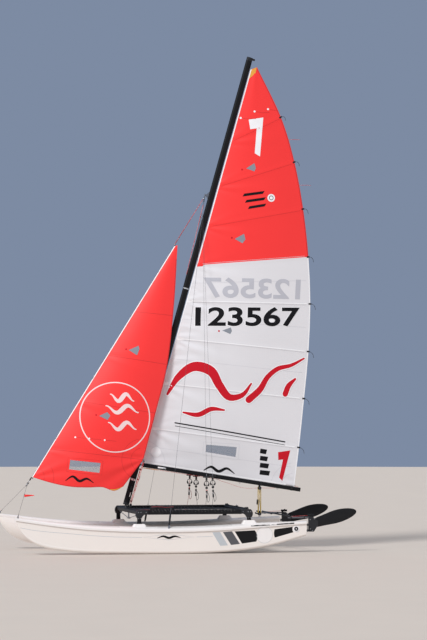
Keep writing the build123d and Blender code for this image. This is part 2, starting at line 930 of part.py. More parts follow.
def rudder_head():
    # two cheeks beside the blade on a spine, with lugs between and beside the gudgeons
    in_front = (Align.MAX, Align.CENTER, Align.MIN)
    head = Pos(mid_station - spine_front, rudder_half_width, head_bottom) * Box(
        spine_depth, head_width, head_top - head_bottom, align=in_front
    )
    for side in (-1, 1):
        head = head + Pos(0, rudder_half_width + side * cheek_offset, 0) * cheek()
    lug = gudgeon_eye - 1
    for z in (gudgeon_low, gudgeon_high):
        for side in (-1, 1):
            centre = z + side * ((gudgeon_thickness + lug) / 2 + running_gap)
            eye = Pos(at(pintle_station, rudder_half_width, centre)) * Cylinder(gudgeon_eye, lug)
            web = Pos(at(pintle_station + lug, rudder_half_width, centre)) * Box(2 * lug, lug_width, lug)
            head = head + eye + web
    middle = Pos(at(pintle_station, rudder_half_width, (gudgeon_low + gudgeon_high) / 2))
    pintle = middle * Cylinder(pintle_radius, pintle_length)
    bolt = Pos(at(blade_pivot_station, rudder_half_width, blade_pivot_height)) * across(
        pivot_bolt_radius, head_width + 2 * bolt_end
    )
    return head + pintle + bolt


def blade():
    # drawn level with the pivot at the origin and its tip aft, cut to a lens in section, then tipped up
    tip = ThreePointArc(blade_top[-1], (blade_length + blade_tip_round, 10), blade_foot[0])
    outline = ThreePointArc(*blade_top) + tip + ThreePointArc(*blade_foot)
    outline = outline + Line(blade_foot[-1], blade_heel[0]) + ThreePointArc(*blade_heel)
    outline = outline + Line(blade_heel[-1], blade_top[0])
    solid = extrude(make_face(outline), amount=blade_thickness / 2, both=True)
    bulge = (blade_thickness - blade_edge) / 2
    lens_radius = (blade_half_chord**2 + bulge**2) / (2 * bulge)
    for side in (-1, 1):
        depth = side * (blade_thickness / 2 - lens_radius)
        solid = solid & Pos(blade_length / 2, 0, depth) * (
            Rot(0, 90, 0) * Cylinder(lens_radius, 2 * blade_length)
        )
    solid = solid - Cylinder(pivot_bolt_radius + running_gap, 3 * blade_thickness)
    tilt = radians(blade_angle)
    pivot = at(blade_pivot_station, rudder_half_width, blade_pivot_height)
    return Plane(origin=pivot, x_dir=Vector(-cos(tilt), 0, sin(tilt)), z_dir=(0, 1, 0)) * solid


# tillers

crossbar_height = tiller_height + tiller_tube / 2 + crossbar_radius + running_gap
crossbar_station = pintle_station - tiller_reach


def tiller_arm():
    # a square tube from the rudder head forward, with the pin that the crossbar turns on
    start = at(spine_front, rudder_half_width, tiller_height)
    profile = tube_profile(tiller_tube, tiller_tube, tiller_corner, tiller_wall)
    length = spine_front - crossbar_station + tiller_end
    tube = extrude(Plane(origin=start, x_dir=(0, 1, 0), z_dir=(1, 0, 0)) * profile, amount=length)
    foot = at(crossbar_station, rudder_half_width, tiller_height - tiller_tube / 2)
    head_height = tiller_tube + 2 * crossbar_radius + 2 * running_gap
    pin = Pos(foot) * Cylinder(tiller_pin_radius, head_height, align=bottom)
    head = Pos(foot + Vector(0, 0, head_height)) * Cylinder(pin_head_radius, pin_head, align=bottom)
    return tube + pin + head


def crossbar():
    # a tube with a hole at each end for the tiller pins, the far one loose
    middle = Pos(at(crossbar_station, 0, crossbar_height))
    length = 2 * (rudder_half_width + crossbar_end)
    tube = middle * (across(crossbar_radius, length) - across(crossbar_radius - tube_wall / 2, length))
    for side, gap in ((1, running_gap), (-1, far_pin_gap)):
        place = Pos(at(crossbar_station, side * rudder_half_width, crossbar_height))
        tube = tube - place * Cylinder(tiller_pin_radius + gap, 4 * crossbar_radius)
    return tube


def extension():
    # the tiller extension lies beside the crossbar, held by the joint at its middle
    station = crossbar_station - extension_ahead
    middle = extension_tube - extension_length / 2
    radius = extension_tube / 2
    rod = across(radius, extension_length) - across(radius - tube_wall / 2, extension_length)
    plug = Pos(0, -middle, 0) * across(radius, 2 * radius)
    link_length = extension_ahead - crossbar_radius - running_gap
    link = Pos(at(station + link_length / 2, 0, crossbar_height)) * Box(link_length, link_width, link_height)
    return Pos(at(station, middle, crossbar_height)) * (rod + plug) + link


def build():
    os.makedirs("parts", exist_ok=True)
    both_sides("hull", hull())
    both_sides("deck", deck())
    for name, station, direction in (("front", front_pylon_station, 1), ("rear", rear_pylon_station, -1)):
        both_sides("pylon_" + name, pylon(station))
        both_sides("corner_casting_" + name, casting(station, direction))
        save("crossbeam_" + name, crossbar_beam(station))
    for make in (
        side_rail, shroud, shroud_adjuster, chainplate, bow_tang, bridle, gudgeon, rudder_head, tiller_arm
    ):
        both_sides(make.__name__, make())
    both_sides("rudder_blade", blade())
    for make in (
        trampoline, mast_step, mast, mast_base, mast_head, mast_tang, hounds_swivel, bridle_shackle,
        forestay, jib, boom, boom_tongue, gooseneck, mainsail, boom_block, mainsheet_falls,
        traveller_track, traveller_car
    ):
        save(make.__name__, make())
    save("gear_bag", bag())
    save("dolphin_striker", striker())
    save("sheet_block", block(lower_centre()))
    save("tiller_crossbar", crossbar())
    save("tiller_extension", extension())


build()
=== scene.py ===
import bmesh
import bpy
import json
import math
import numpy as np
from mathutils import Matrix, Vector
from mathutils.bvhtree import BVHTree


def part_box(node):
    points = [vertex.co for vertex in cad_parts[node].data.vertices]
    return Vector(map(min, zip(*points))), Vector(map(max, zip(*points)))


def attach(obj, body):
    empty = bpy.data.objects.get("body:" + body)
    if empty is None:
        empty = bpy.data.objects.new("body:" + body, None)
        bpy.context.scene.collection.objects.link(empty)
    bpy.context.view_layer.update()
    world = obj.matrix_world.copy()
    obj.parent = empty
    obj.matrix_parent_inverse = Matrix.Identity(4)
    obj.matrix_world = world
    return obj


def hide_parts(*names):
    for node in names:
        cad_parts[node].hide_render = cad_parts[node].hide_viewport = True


# A two-hulled beach sailing dinghy parked on its keels, both sails up, rudders kicked up
# X forward, Y to port, Z up, in metres; a station is a distance aft of the bow

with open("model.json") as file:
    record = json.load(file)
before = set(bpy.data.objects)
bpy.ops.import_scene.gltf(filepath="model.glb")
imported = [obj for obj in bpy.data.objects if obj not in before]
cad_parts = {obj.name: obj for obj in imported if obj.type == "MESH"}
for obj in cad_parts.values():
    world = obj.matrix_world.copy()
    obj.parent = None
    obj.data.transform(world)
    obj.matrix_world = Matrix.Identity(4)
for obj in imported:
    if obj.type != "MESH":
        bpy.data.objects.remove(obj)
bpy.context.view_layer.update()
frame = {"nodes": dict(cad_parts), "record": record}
nodes = frame["nodes"]

railLow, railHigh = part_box("side_rail_port")
bowFromRail = 3.1075
bowX = (railLow.x + railHigh.x) / 2 + bowFromRail
scene = bpy.context.scene
bothTags = ((1, "port"), (-1, "starboard"))


def at(station, y, z):
    return np.array([bowX - station, y, z])


def shift(x, y, z):
    return np.array([x, y, z], float)


def linked(name, data):
    made = bpy.data.objects.new(name, data)
    scene.collection.objects.link(made)
    return made


# camera, light and floor

camera = {"pixels": 3506.772, "turn": 0.1994, "away": 61.0081, "aside": 1.1302, "height": 3.0511,
          "ahead": 2.5, "rise": 55}
light = {"sun": 2.1, "softness": 14, "towards": (-0.62, -0.66, -0.74), "sky": (0.84, 0.88, 0.95),
         "skyStrength": 0.72, "seen": (0.205, 0.258, 0.365), "floor": (0.63, 0.555, 0.49), "floorRadius": 56,
         "floorHeight": -0.004}

turn = camera["turn"]
right = Vector((-math.cos(turn), math.sin(turn), 0))
back = Vector((math.sin(turn), math.cos(turn), 0))
pitch = math.atan(camera["rise"] / camera["pixels"])
look = -back * math.cos(pitch) + Vector((0, 0, 1)) * math.sin(pitch)
lens = bpy.data.cameras.new("camera")
lens.sensor_width = 36
lens.lens = camera["pixels"] / 640 * 36
lens.clip_start, lens.clip_end = 1, 400
eye = linked("camera", lens)
eye.location = Vector((bowX - camera["ahead"], 0, 0)) + camera["away"] * back + camera["aside"] * right
eye.location.z = camera["height"]
eye.rotation_mode = "QUATERNION"
eye.rotation_quaternion = look.to_track_quat("-Z", "Y")
scene.camera = eye

sunLight = bpy.data.lights.new("sun", "SUN")
sunLight.energy = light["sun"]
sunLight.angle = math.radians(light["softness"])
sun = linked("sun", sunLight)
sun.rotation_mode = "QUATERNION"
sun.rotation_quaternion = Vector(light["towards"]).to_track_quat("-Z", "Y")
world = bpy.data.worlds.new("world")
scene.world = world
world.use_nodes = True
lit = world.node_tree.nodes["Background"]
lit.inputs["Color"].default_value = (*light["sky"], 1)
lit.inputs["Strength"].default_value = light["skyStrength"]
# the camera, gloss and glass see a plain slate backdrop instead of the lit sky
seen = world.node_tree.nodes.new("ShaderNodeBackground")
seen.inputs["Color"].default_value = (*light["seen"], 1)
rays = world.node_tree.nodes.new("ShaderNodeLightPath")
either = world.node_tree.nodes.new("ShaderNodeMath")
either.operation = "MAXIMUM"
anyRay = world.node_tree.nodes.new("ShaderNodeMath")
anyRay.operation = "MAXIMUM"
blend = world.node_tree.nodes.new("ShaderNodeMixShader")
link = world.node_tree.links.new
link(rays.outputs["Is Camera Ray"], either.inputs[0])
link(rays.outputs["Is Glossy Ray"], either.inputs[1])
link(either.outputs[0], anyRay.inputs[0])
link(rays.outputs["Is Transmission Ray"], anyRay.inputs[1])
link(anyRay.outputs[0], blend.inputs[0])
link(lit.outputs[0], blend.inputs[1])
link(seen.outputs[0], blend.inputs[2])
link(blend.outputs[0], world.node_tree.nodes["World Output"].inputs["Surface"])
scene.view_settings.view_transform = "Standard"


# shapes: each gives its points and faces as arrays

def smoothCurve(knots, values, wanted):
    # a cubic through the knots, with the slope at each taken from its two neighbours
    knots = np.asarray(knots, float)
    values = np.asarray(values, float).reshape(len(knots), -1)
    wanted = np.atleast_1d(np.asarray(wanted, float))
    slopes = np.gradient(values, knots, axis=0)
    place = np.clip(np.searchsorted(knots, wanted, side="right") - 1, 0, len(knots) - 2)
    step = (knots[place + 1] - knots[place])[:, None]
    t = (wanted - knots[place])[:, None] / step
    return (
        (2 * t**3 - 3 * t**2 + 1) * values[place]
        + (t**3 - 2 * t**2 + t) * step * slopes[place]
        + (3 * t**2 - 2 * t**3) * values[place + 1]
        + (t**3 - t**2) * step * slopes[place + 1]
    )


def unit(v):
    v = np.asarray(v, float)
    return v / (np.linalg.norm(v, axis=-1, keepdims=True) + 1e-15)


def gridQuads(rows, columns, wrap=False, wrapRows=False):
    index = np.arange(rows * columns).reshape(rows, columns)
    if wrap:
        index = np.hstack([index, index[:, :1]])
    if wrapRows:
        index = np.vstack([index, index[:1]])
    quads = np.stack([index[:-1, :-1], index[:-1, 1:], index[1:, 1:], index[1:, :-1]], -1)
    return quads.reshape(-1, 4).tolist()


def closedQuads(rows, columns):
    # the wall of a tube and a face over each of its ends
    last = (rows - 1) * columns
    ends = [list(range(columns))[::-1], [last + i for i in range(columns)]]
    return gridQuads(rows, columns, wrap=True) + ends


def fullTurn(count):
    return np.linspace(0, 2 * np.pi, count, endpoint=False)


def newPiece(name, shape, finish, body, sharp=None):
    # shape is points and faces or a list of such shapes; finish is one material or a list of them
    points, faces = joined(shape) if isinstance(shape, list) else shape
    mesh = bpy.data.meshes.new(name)
    mesh.from_pydata(np.asarray(points, float).reshape(-1, 3).tolist(), [], faces)
    mesh.polygons.foreach_set("use_smooth", [True] * len(mesh.polygons))
    for m in finish if isinstance(finish, list) else [finish]:
        mesh.materials.append(m)
    piece = linked(name, mesh)
    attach(piece, body)
    if sharp:
        sharpen(piece, sharp)
    return piece


def joined(shapes):
    points, faces, start = [], [], 0
    for p, f in shapes:
        points.append(np.asarray(p, float).reshape(-1, 3))
        faces += [[i + start for i in face] for face in f]
        start += len(points[-1])
    return np.vstack(points), faces


def sharpen(piece, degrees=35):
    # smooth shading except where two faces meet at more than this angle
    b = bmesh.new()
    b.from_mesh(piece.data)
    limit = math.radians(degrees)
    for e in b.edges:
        e.smooth = len(e.link_faces) == 2 and e.calc_face_angle(0) < limit
    b.to_mesh(piece.data)
    b.free()


def tube(path, radius, sides=10, upright=(0.31, 0.87, 0.37)):
    # circles square to the path at each of its points; radius is one number or one for each point
    path = np.asarray(path, float)
    radii = np.broadcast_to(np.asarray(radius, float), (len(path),))
    along = unit(np.gradient(path, axis=0))
    side = unit(np.cross(along, np.asarray(upright, float)))
    other = np.cross(along, side)
    turns = fullTurn(sides)[None, :, None]
    out = np.cos(turns) * side[:, None] + np.sin(turns) * other[:, None]
    rings = path[:, None] + radii[:, None, None] * out
    return rings.reshape(-1, 3), closedQuads(len(path), sides)


def line(start, end, radius, sides=10, steps=2):
    # a straight tube, in as many points along it as steps says
    t = np.linspace(0, 1, steps)[:, None]
    return tube(np.asarray(start) * (1 - t) + np.asarray(end) * t, radius, sides)


def curved(points, count):
    # a smooth path through the points, evenly spaced
    points = np.asarray(points, float)
    spans = np.r_[0, np.cumsum(np.linalg.norm(np.diff(points, axis=0), axis=1))]
    return smoothCurve(spans, points, np.linspace(0, spans[-1], count))


def frameOf(axis):
    # two directions square to an axis
    axis = unit(axis)
    side = unit(np.cross(axis, [0.29, 0.41, 0.86]))
    return axis, side, np.cross(axis, side)


def turned(profile, origin, axis, sides=24):
    # a profile of (distance along the axis, radius) turned round it
    axis, side, other = frameOf(axis)
    a, r = np.asarray(profile, float).T
    turns = fullTurn(sides)[None, :, None]
    out = np.cos(turns) * side + np.sin(turns) * other
    rings = np.asarray(origin) + axis * a[:, None, None] + np.maximum(r, 1e-5)[:, None, None] * out
    return rings.reshape(-1, 3), closedQuads(len(a), sides)


def rod(start, end, radius, sides=20, roundness=0.25):
    # a short bar whose two edges are rounded by a share of its radius
    span = np.linalg.norm(np.asarray(end) - np.asarray(start))
    r = roundness * radius
    profile = [(0, radius - r), (0.3 * r, radius - 0.3 * r), (r, radius), (span - r, radius),
               (span - 0.3 * r, radius - 0.3 * r), (span, radius - r)]
    return turned(profile, start, np.asarray(end) - np.asarray(start), sides)


def ring(centre, axis, radius, thick, sides=24, around=8):
    # a circle of that radius carries a smaller one round the axis
    axis, side, other = frameOf(axis)
    u, v = fullTurn(sides)[:, None, None], fullTurn(around)[None, :, None]
    out = np.cos(u) * side + np.sin(u) * other
    points = np.asarray(centre) + out * (radius + thick * np.cos(v)) + axis * thick * np.sin(v)
    return points.reshape(-1, 3), gridQuads(sides, around, wrap=True, wrapRows=True)


def box(centre, size, axes=None, bevel=0.0):
    # a box with its corners cut by the bevel, on the axes given
    axes = np.eye(3) if axes is None else np.asarray(axes, float)
    b = bmesh.new()
    bmesh.ops.create_cube(b, size=1, matrix=Matrix.Diagonal((*size, 1)))
    if bevel:
        bmesh.ops.bevel(b, geom=b.edges[:], offset=bevel, segments=2, affect="EDGES", profile=0.5)
    b.verts.index_update()
    points = np.array([v.co for v in b.verts]) @ axes + np.asarray(centre)
    faces = [[v.index for v in f.verts] for f in b.faces]
    b.free()
    return points, faces


def webbing(path, width, thick, across):
    # a flat band along a path: its width lies along the direction given
    path = np.asarray(path, float)
    along = unit(np.gradient(path, axis=0))
    wide = np.asarray(across, float) - along * (along @ np.asarray(across, float))[:, None]
    wide = unit(wide) * width / 2
    up = unit(np.cross(wide, along)) * thick / 2
    corners = np.stack([path - wide - up, path + wide - up, path + wide + up, path - wide + up], 1)
    return corners.reshape(-1, 3), closedQuads(len(path), 4)


def zigzag(low, high, steps):
    # a path that crosses from one line to the other at each even step
    t = np.linspace(0, 1, steps)[:, None]
    a, b = np.array(low, float), np.array(high, float)
    first, second = a[0] * (1 - t) + a[1] * t, b[0] * (1 - t) + b[1] * t
    return np.where((np.arange(steps) % 2 == 0)[:, None], first, second)


def rounded(path, share=0.25):
    # each corner of a path is cut twice, so that a rope bends round it
    path = np.asarray(path, float)
    for _ in range(2):
        a, b = path[:-1], path[1:]
        cut = np.stack([a + (b - a) * share, b - (b - a) * share], 1).reshape(-1, 3)
        path = np.vstack([path[:1], cut, path[-1:]])
    return path


# materials

def material(name, colour, roughness=0.5, metallic=0.0, mottle=0.06, scale=6.0, bump=0.1, bumpScale=120.0,
             coat=0.0, specular=0.5, sheen=0.0):
    made = bpy.data.materials.new(name)
    made.use_nodes = True
    tree = made.node_tree
    shader = tree.nodes["Principled BSDF"]
    shader.inputs["Metallic"].default_value = metallic
    shader.inputs["Coat Weight"].default_value = coat
    shader.inputs["Specular IOR Level"].default_value = specular
    shader.inputs["Sheen Weight"].default_value = sheen
    place = tree.nodes.new("ShaderNodeTexCoord")
    # blotches of a lighter and a darker shade, which are also a little duller and glossier
    noise = tree.nodes.new("ShaderNodeTexNoise")
    noise.inputs["Scale"].default_value = scale
    noise.inputs["Detail"].default_value = 6
    mix = tree.nodes.new("ShaderNodeMix")
    mix.data_type = "RGBA"
    mix.inputs[6].default_value = (*[c * (1 - mottle) for c in colour], 1)
    mix.inputs[7].default_value = (*[min(1, c * (1 + mottle)) for c in colour], 1)
    gloss = tree.nodes.new("ShaderNodeMapRange")
    gloss.inputs["To Min"].default_value = roughness * 0.85
    gloss.inputs["To Max"].default_value = min(1, roughness * 1.15)
    tree.links.new(place.outputs["Object"], noise.inputs["Vector"])
    tree.links.new(noise.outputs["Fac"], mix.inputs[0])
    tree.links.new(noise.outputs["Fac"], gloss.inputs["Value"])
    tree.links.new(mix.outputs[2], shader.inputs["Base Color"])
    tree.links.new(gloss.outputs["Result"], shader.inputs["Roughness"])
    grain = tree.nodes.new("ShaderNodeTexNoise")
    grain.inputs["Scale"].default_value = bumpScale
    grain.inputs["Detail"].default_value = 4
    raised = tree.nodes.new("ShaderNodeBump")
    raised.inputs["Strength"].default_value = bump
    raised.inputs["Distance"].default_value = 0.001
    tree.links.new(place.outputs["Object"], grain.inputs["Vector"])
    tree.links.new(grain.outputs["Fac"], raised.inputs["Height"])
    tree.links.new(raised.outputs["Normal"], shader.inputs["Normal"])
    return made


def woven(made, pitch, depth):
    # two sets of waves at right angles are added together as threads, and their sum takes the grain's place
    # in the bump
    tree = made.node_tree
    place, raised = tree.nodes["Texture Coordinate"], tree.nodes["Bump"]
    total = None
    for axis in ("X", "Z"):
        wave = tree.nodes.new("ShaderNodeTexWave")
        wave.bands_direction = axis
        wave.inputs["Scale"].default_value = 1 / pitch / 20
        tree.links.new(place.outputs["Object"], wave.inputs["Vector"])
        if total is None:
            total = wave
        else:
            add = tree.nodes.new("ShaderNodeMath")
            tree.links.new(total.outputs["Fac"], add.inputs[0])
            tree.links.new(wave.outputs["Fac"], add.inputs[1])
            tree.links.new(add.outputs[0], raised.inputs["Height"])
    raised.inputs["Strength"].default_value = depth
    return made


def clearFilm(name, colour, strength):
    made = material(name, colour, 0.12)
    made.node_tree.nodes["Principled BSDF"].inputs["Alpha"].default_value = strength
    return made


def ropeMaterial(name, colour, fleck):
    # short slanting flecks of a second colour along a braid
    made = material(name, colour, 0.8, mottle=0.15, scale=90, bump=0.7, bumpScale=700, specular=0.3)
    tree = made.node_tree
    shader, mix = tree.nodes["Principled BSDF"], tree.nodes["Mix"]
    spots = tree.nodes.new("ShaderNodeTexVoronoi")
    spots.inputs["Scale"].default_value = 90
    limit = tree.nodes.new("ShaderNodeMath")
    limit.operation = "LESS_THAN"
    limit.inputs[1].default_value = 0.34
    second = tree.nodes.new("ShaderNodeMix")
    second.data_type = "RGBA"
    second.inputs[7].default_value = (*fleck, 1)
    tree.links.new(tree.nodes["Texture Coordinate"].outputs["Object"], spots.inputs["Vector"])
    tree.links.new(spots.outputs["Distance"], limit.inputs[0])
    tree.links.new(limit.outputs[0], second.inputs[0])
    tree.links.new(mix.outputs[2], second.inputs[6])
    tree.links.new(second.outputs[2], shader.inputs["Base Color"])
    return made


def sailcloth(name, colour):
    # plain cloth with a fine weave and faint blotches
    return woven(material(name, colour, 0.5, mottle=0.025, scale=1.6, specular=0.35, sheen=0.1), 0.006, 0.12)


redCloth = sailcloth("red_cloth", (0.95, 0.034, 0.032))
whiteCloth = sailcloth("white_cloth", (0.745, 0.73, 0.755))
whiteTape = material("white_tape", (0.88, 0.87, 0.89), 0.6, specular=0.3)
discWhite = material("disc_white", (0.86, 0.83, 0.82), 0.5, specular=0.3)
softWhite = material("soft_white", (0.88, 0.68, 0.68), 0.6, specular=0.3)
# painted shade of sail numbers seen through the cloth from its other side
showThroughShade = material("pale_ink", (0.50, 0.50, 0.55), 0.6, specular=0.3)
blackInk = material("black_ink", (0.008, 0.008, 0.01), 0.7, specular=0.15)
redInk = material("red_ink", (0.58, 0.006, 0.018), 0.65, specular=0.2)
orangeCloth = material("orange_cloth", (0.78, 0.36, 0.04), 0.6)
greyWindow = material("grey_film", (0.26, 0.28, 0.32), 0.25)
clearWindow = clearFilm("clear_film", (0.36, 0.37, 0.40), 0.45)
# seam colours; the lines drawn in them beside the battens also stand for painted shade
seamPale = material("seam_pale", (0.60, 0.59, 0.63), 0.6)
seamRed = material("seam_red", (0.68, 0.018, 0.018), 0.6)

gelcoat = material("white_gelcoat", (0.84, 0.785, 0.745), 0.24, mottle=0.02, scale=1.4, bump=0.03, coat=0.4)
deckGelcoat = material("deck_gelcoat", (0.84, 0.80, 0.78), 0.36, mottle=0.03, scale=2, bump=0.08,
                       bumpScale=300)
gripGelcoat = material("grip_gelcoat", (0.66, 0.63, 0.61), 0.8, mottle=0.08, scale=12, bump=1.0,
                       bumpScale=520)
anodised = material("black_anodised", (0.009, 0.009, 0.010), 0.5, metallic=0.1, mottle=0.2, scale=9,
                    bump=0.05, specular=0.25)
casting = material("black_casting", (0.013, 0.013, 0.015), 0.55, mottle=0.2, scale=20, bump=0.5,
                   bumpScale=420)
steel = material("stainless", (0.42, 0.42, 0.43), 0.3, metallic=1.0, bump=0.15, bumpScale=260)
wireSteel = material("wire", (0.10, 0.10, 0.11), 0.45, metallic=0.7, bump=0.6, bumpScale=800)
rudderPlastic = material("rudder_plastic", (0.010, 0.010, 0.011), 0.55, mottle=0.35, scale=14, bump=0.25,
                         bumpScale=200, specular=0.25)
tubeAluminium = material("bare_aluminium", (0.2, 0.2, 0.21), 0.38, metallic=0.9, mottle=0.1, scale=14)
blockPlastic = material("block_plastic", (0.012, 0.012, 0.012), 0.45, mottle=0.2, bump=0.2)
meshCloth = woven(material("trampoline_mesh", (0.018, 0.018, 0.02), 0.8, mottle=0.15, scale=3), 0.004, 1.0)
hemCloth = material("black_webbing", (0.012, 0.012, 0.013), 0.8, mottle=0.2, scale=40, bump=0.8,
                    bumpScale=500)
bagCloth = material("bag_cloth", (0.014, 0.014, 0.016), 0.75, mottle=0.3, scale=18, bump=0.8, bumpScale=300)
bagPiping = material("red_piping", (0.5, 0.02, 0.03), 0.6, bump=0.3, bumpScale=400)
yellowRope = ropeMaterial("yellow_rope", (0.60, 0.42, 0.10), (0.16, 0.12, 0.05))
redRope = ropeMaterial("red_rope", (0.58, 0.03, 0.03), (0.72, 0.66, 0.62))
whiteRope = ropeMaterial("white_rope", (0.70, 0.67, 0.63), (0.30, 0.05, 0.05))
blackRope = ropeMaterial("black_rope", (0.015, 0.015, 0.016), (0.16, 0.16, 0.17))
lacingCord = ropeMaterial("lacing_cord", (0.05, 0.048, 0.046), (0.34, 0.32, 0.30))
orangeRope = ropeMaterial("orange_rope", (0.74, 0.26, 0.05), (0.55, 0.42, 0.2))
greyPaint = material("grey_paint", (0.10, 0.10, 0.11), 0.4, specular=0.3)
palePaint = material("pale_grey_paint", (0.50, 0.53, 0.56), 0.4, specular=0.3)
blackPaint = material("black_paint", (0.008, 0.008, 0.009), 0.45, specular=0.2)

floorMaterial = material("floor", light["floor"], 0.9, mottle=0.03, scale=1.2, bump=0.3, bumpScale=60)
floorMesh = bpy.data.meshes.new("floor")
rimTurns, radius = fullTurn(128), light["floorRadius"]
rim = np.stack([radius * np.cos(rimTurns), radius * np.sin(rimTurns), np.full(128, light["floorHeight"])], 1)
floorMesh.from_pydata(rim.tolist(), [], [list(range(128))])
floorMesh.materials.append(floorMaterial)
floor = linked("floor", floorMesh)

slotMaterials = {
    "hull_gelcoat": gelcoat, "black_anodised": anodised, "black_casting": casting, "stainless": steel,
    "rudder_plastic": rudderPlastic, "bare_aluminium": tubeAluminium, "block_plastic": blockPlastic,
    "trampoline_mesh": meshCloth, "mainsail_cloth": whiteCloth, "jib_cloth": redCloth,
    "yellow_rope": yellowRope,
}
slotOf = {p["node"]: p["material_slot"] for p in frame["record"]["subparts"]}
ownFinish = {"deck": deckGelcoat, "shroud_adjuster": casting, "tiller_crossbar": anodised,
             "shroud": wireSteel, "forestay": wireSteel,
             "bridle_port": wireSteel, "bridle_starboard": wireSteel}
for name, node in nodes.items():
    finish = [m for start, m in ownFinish.items() if name.startswith(start)]
    node.data.materials.clear()
    node.data.materials.append(finish[0] if finish else slotMaterials[slotOf[name]])
    node.data.polygons.foreach_set("use_smooth", [True] * len(node.data.polygons))
print("materials done")


# marks: flat outlines in station and height, cut fine and laid on a surface from the side

def evaluated(piece):
    return piece.evaluated_get(bpy.context.evaluated_depsgraph_get())


def treeOf(piece):
    points = [v.co.copy() for v in piece.data.vertices]
    return BVHTree.FromPolygons(points, [list(p.vertices) for p in piece.data.polygons])


def meshOf(curve):
    holder = linked(curve.name, curve)
    mesh = bpy.data.meshes.new_from_object(evaluated(holder))
    bpy.data.objects.remove(holder)
    return mesh


def flatMesh(*outlines):
    # the filled area between closed outlines, holes left open
    curve = bpy.data.curves.new("outline", "CURVE")
    curve.dimensions = "2D"
    curve.fill_mode = "BOTH"
    for outline in outlines:
        spline = curve.splines.new("POLY")
        spline.points.add(len(outline) - 1)
        for point, (s, z) in zip(spline.points, outline):
            point.co = (s, z, 0, 1)
        spline.use_cyclic_u = True
    return meshOf(curve)


def numerals(words, corners, bold, mirror=False):
    # numerals stretched between four corners: low left, low right, high right, high left
    curve = bpy.data.curves.new("words", "FONT")
    curve.body = words
    curve.offset = bold
    curve.resolution_u = 6
    mesh = meshOf(curve)
    points = np.array([v.co for v in mesh.vertices])[:, :2]
    u, w = ((points - points.min(0)) / (points.max(0) - points.min(0))).T
    if mirror:
        u = 1 - u
    a, b, c, d = [np.array(x, float)[None, :] for x in corners]
    u, w = u[:, None], w[:, None]
    placed = (1 - u) * (1 - w) * a + u * (1 - w) * b + u * w * c + (1 - u) * w * d
    mesh.vertices.foreach_set("co", np.c_[placed, np.zeros(len(placed))].ravel())
    return mesh


def laid(mesh, tree, side, lift, fine):
    # the outline is cut into small squares, and each corner goes to where a ray along Y meets the surface
    b = bmesh.new()
    b.from_mesh(mesh)
    spots = np.array([v.co for v in b.verts])[:, :2]
    for axis in (0, 1):
        for cut in np.arange(math.floor(spots[:, axis].min() / fine) * fine + fine, spots[:, axis].max(),
                             fine):
            spot, normal = [0, 0, 0], [0, 0, 0]
            spot[axis], normal[axis] = cut, 1
            bmesh.ops.bisect_plane(b, geom=b.verts[:] + b.edges[:] + b.faces[:], plane_co=spot,
                                   plane_no=normal)
    for v in b.verts:
        start = Vector((bowX - v.co.x, side * 4, v.co.y))
        hit = tree.ray_cast(start, Vector((0, -side, 0)))[0]
        if hit is None:
            hit = tree.find_nearest(Vector((bowX - v.co.x, 0, v.co.y)))[0]
        v.co = hit + Vector((0, side * lift, 0))
    bmesh.ops.triangulate(b, faces=b.faces[:])
    b.verts.index_update()
    faces = []
    for f in b.faces:
        f.normal_update()
        corners = [v.index for v in f.verts]
        faces.append(corners if f.normal.y * side > 0 else corners[::-1])
    points = np.array([v.co for v in b.verts])
    b.free()
    return points, faces


printed = {}


def mark(surface, mesh, ink, sides=(1, -1), lift=0.0016, fine=0.05):
    # marks of one ink on one side of one surface become a single piece
    for side in sides:
        tree = surface["tree"][side] if isinstance(surface["tree"], dict) else surface["tree"]
        printed.setdefault((surface["name"], ink.name, side), []).append(laid(mesh, tree, side, lift, fine))


def draw(surface, ink, *outlines, lift=0.0016, fine=0.05):
    # a mark between closed outlines, on both sides of the surface
    mark(surface, flatMesh(*outlines), ink, lift=lift, fine=fine)


def printMarks(surface):
    made = []
    for (name, ink, side), shapes in printed.items():
        if name == surface["name"]:
            made.append(newPiece(f"{name}_{ink}_{dict(bothTags)[side]}", shapes, bpy.data.materials[ink],
                                 surface["body"]))
    return made


def ribbon(path, widths):
    # the outline of a brush stroke: both edges of a path, each at half the width there, and round ends
    path = np.asarray(path, float)
    along = unit(np.gradient(path, axis=0))
    across = np.stack([-along[:, 1], along[:, 0]], 1) * np.asarray(widths, float)[:, None] / 2
    a = np.linspace(0.2, np.pi - 0.2, 7)[:, None]
    ends = []
    for centre, edge, forward in ((path[-1], across[-1], along[-1]), (path[0], -across[0], -along[0])):
        ends.append(centre + edge * np.cos(a) + forward * np.linalg.norm(edge) * np.sin(a))
    return np.vstack([path + across, ends[0], (path - across)[::-1], ends[1]])


def circle(centre, radius, count=64):
    a = fullTurn(count)
    return np.stack([centre[0] + radius * np.cos(a), centre[1] + radius * np.sin(a)], 1)


def strip(points, width):
    return ribbon(np.asarray(points, float), np.full(len(points), width))


def smallWave(points, least, swell, count=40):
    # a brush stroke through the points, narrow at its ends and wider by the swell in its middle
    return ribbon(curved(points, count), least + swell * np.sin(np.linspace(0, np.pi, count)))


def cornerSeams(surface, ink, corners, radii, width, count):
    # curved seams round each corner, from one angle to another
    for centre, low, high in corners:
        for radius in radii:
            a = np.radians(np.linspace(low, high, count))
            arc = np.stack([centre[0] + radius * np.cos(a), centre[1] + radius * np.sin(a)], 1)
            draw(surface, ink, strip(arc, width), lift=0.0013)


def windowFrame(surface, corners, cloth, seam, out, inwards):
    # a band of cloth round a window and a thin seam along its outer edge
    draw(surface, cloth, grownQuad(corners, out), grownQuad(corners, -inwards), lift=0.0018)
    draw(surface, seam, grownQuad(corners, out), grownQuad(corners, out - 0.004), lift=0.0022)


def smallWindows(surface, windows, dots, lift, radius):
    for shape, dot in zip(windows, dots):
        draw(surface, greyWindow, shape, lift=lift)
        draw(surface, redInk, circle(dot, radius, 20))


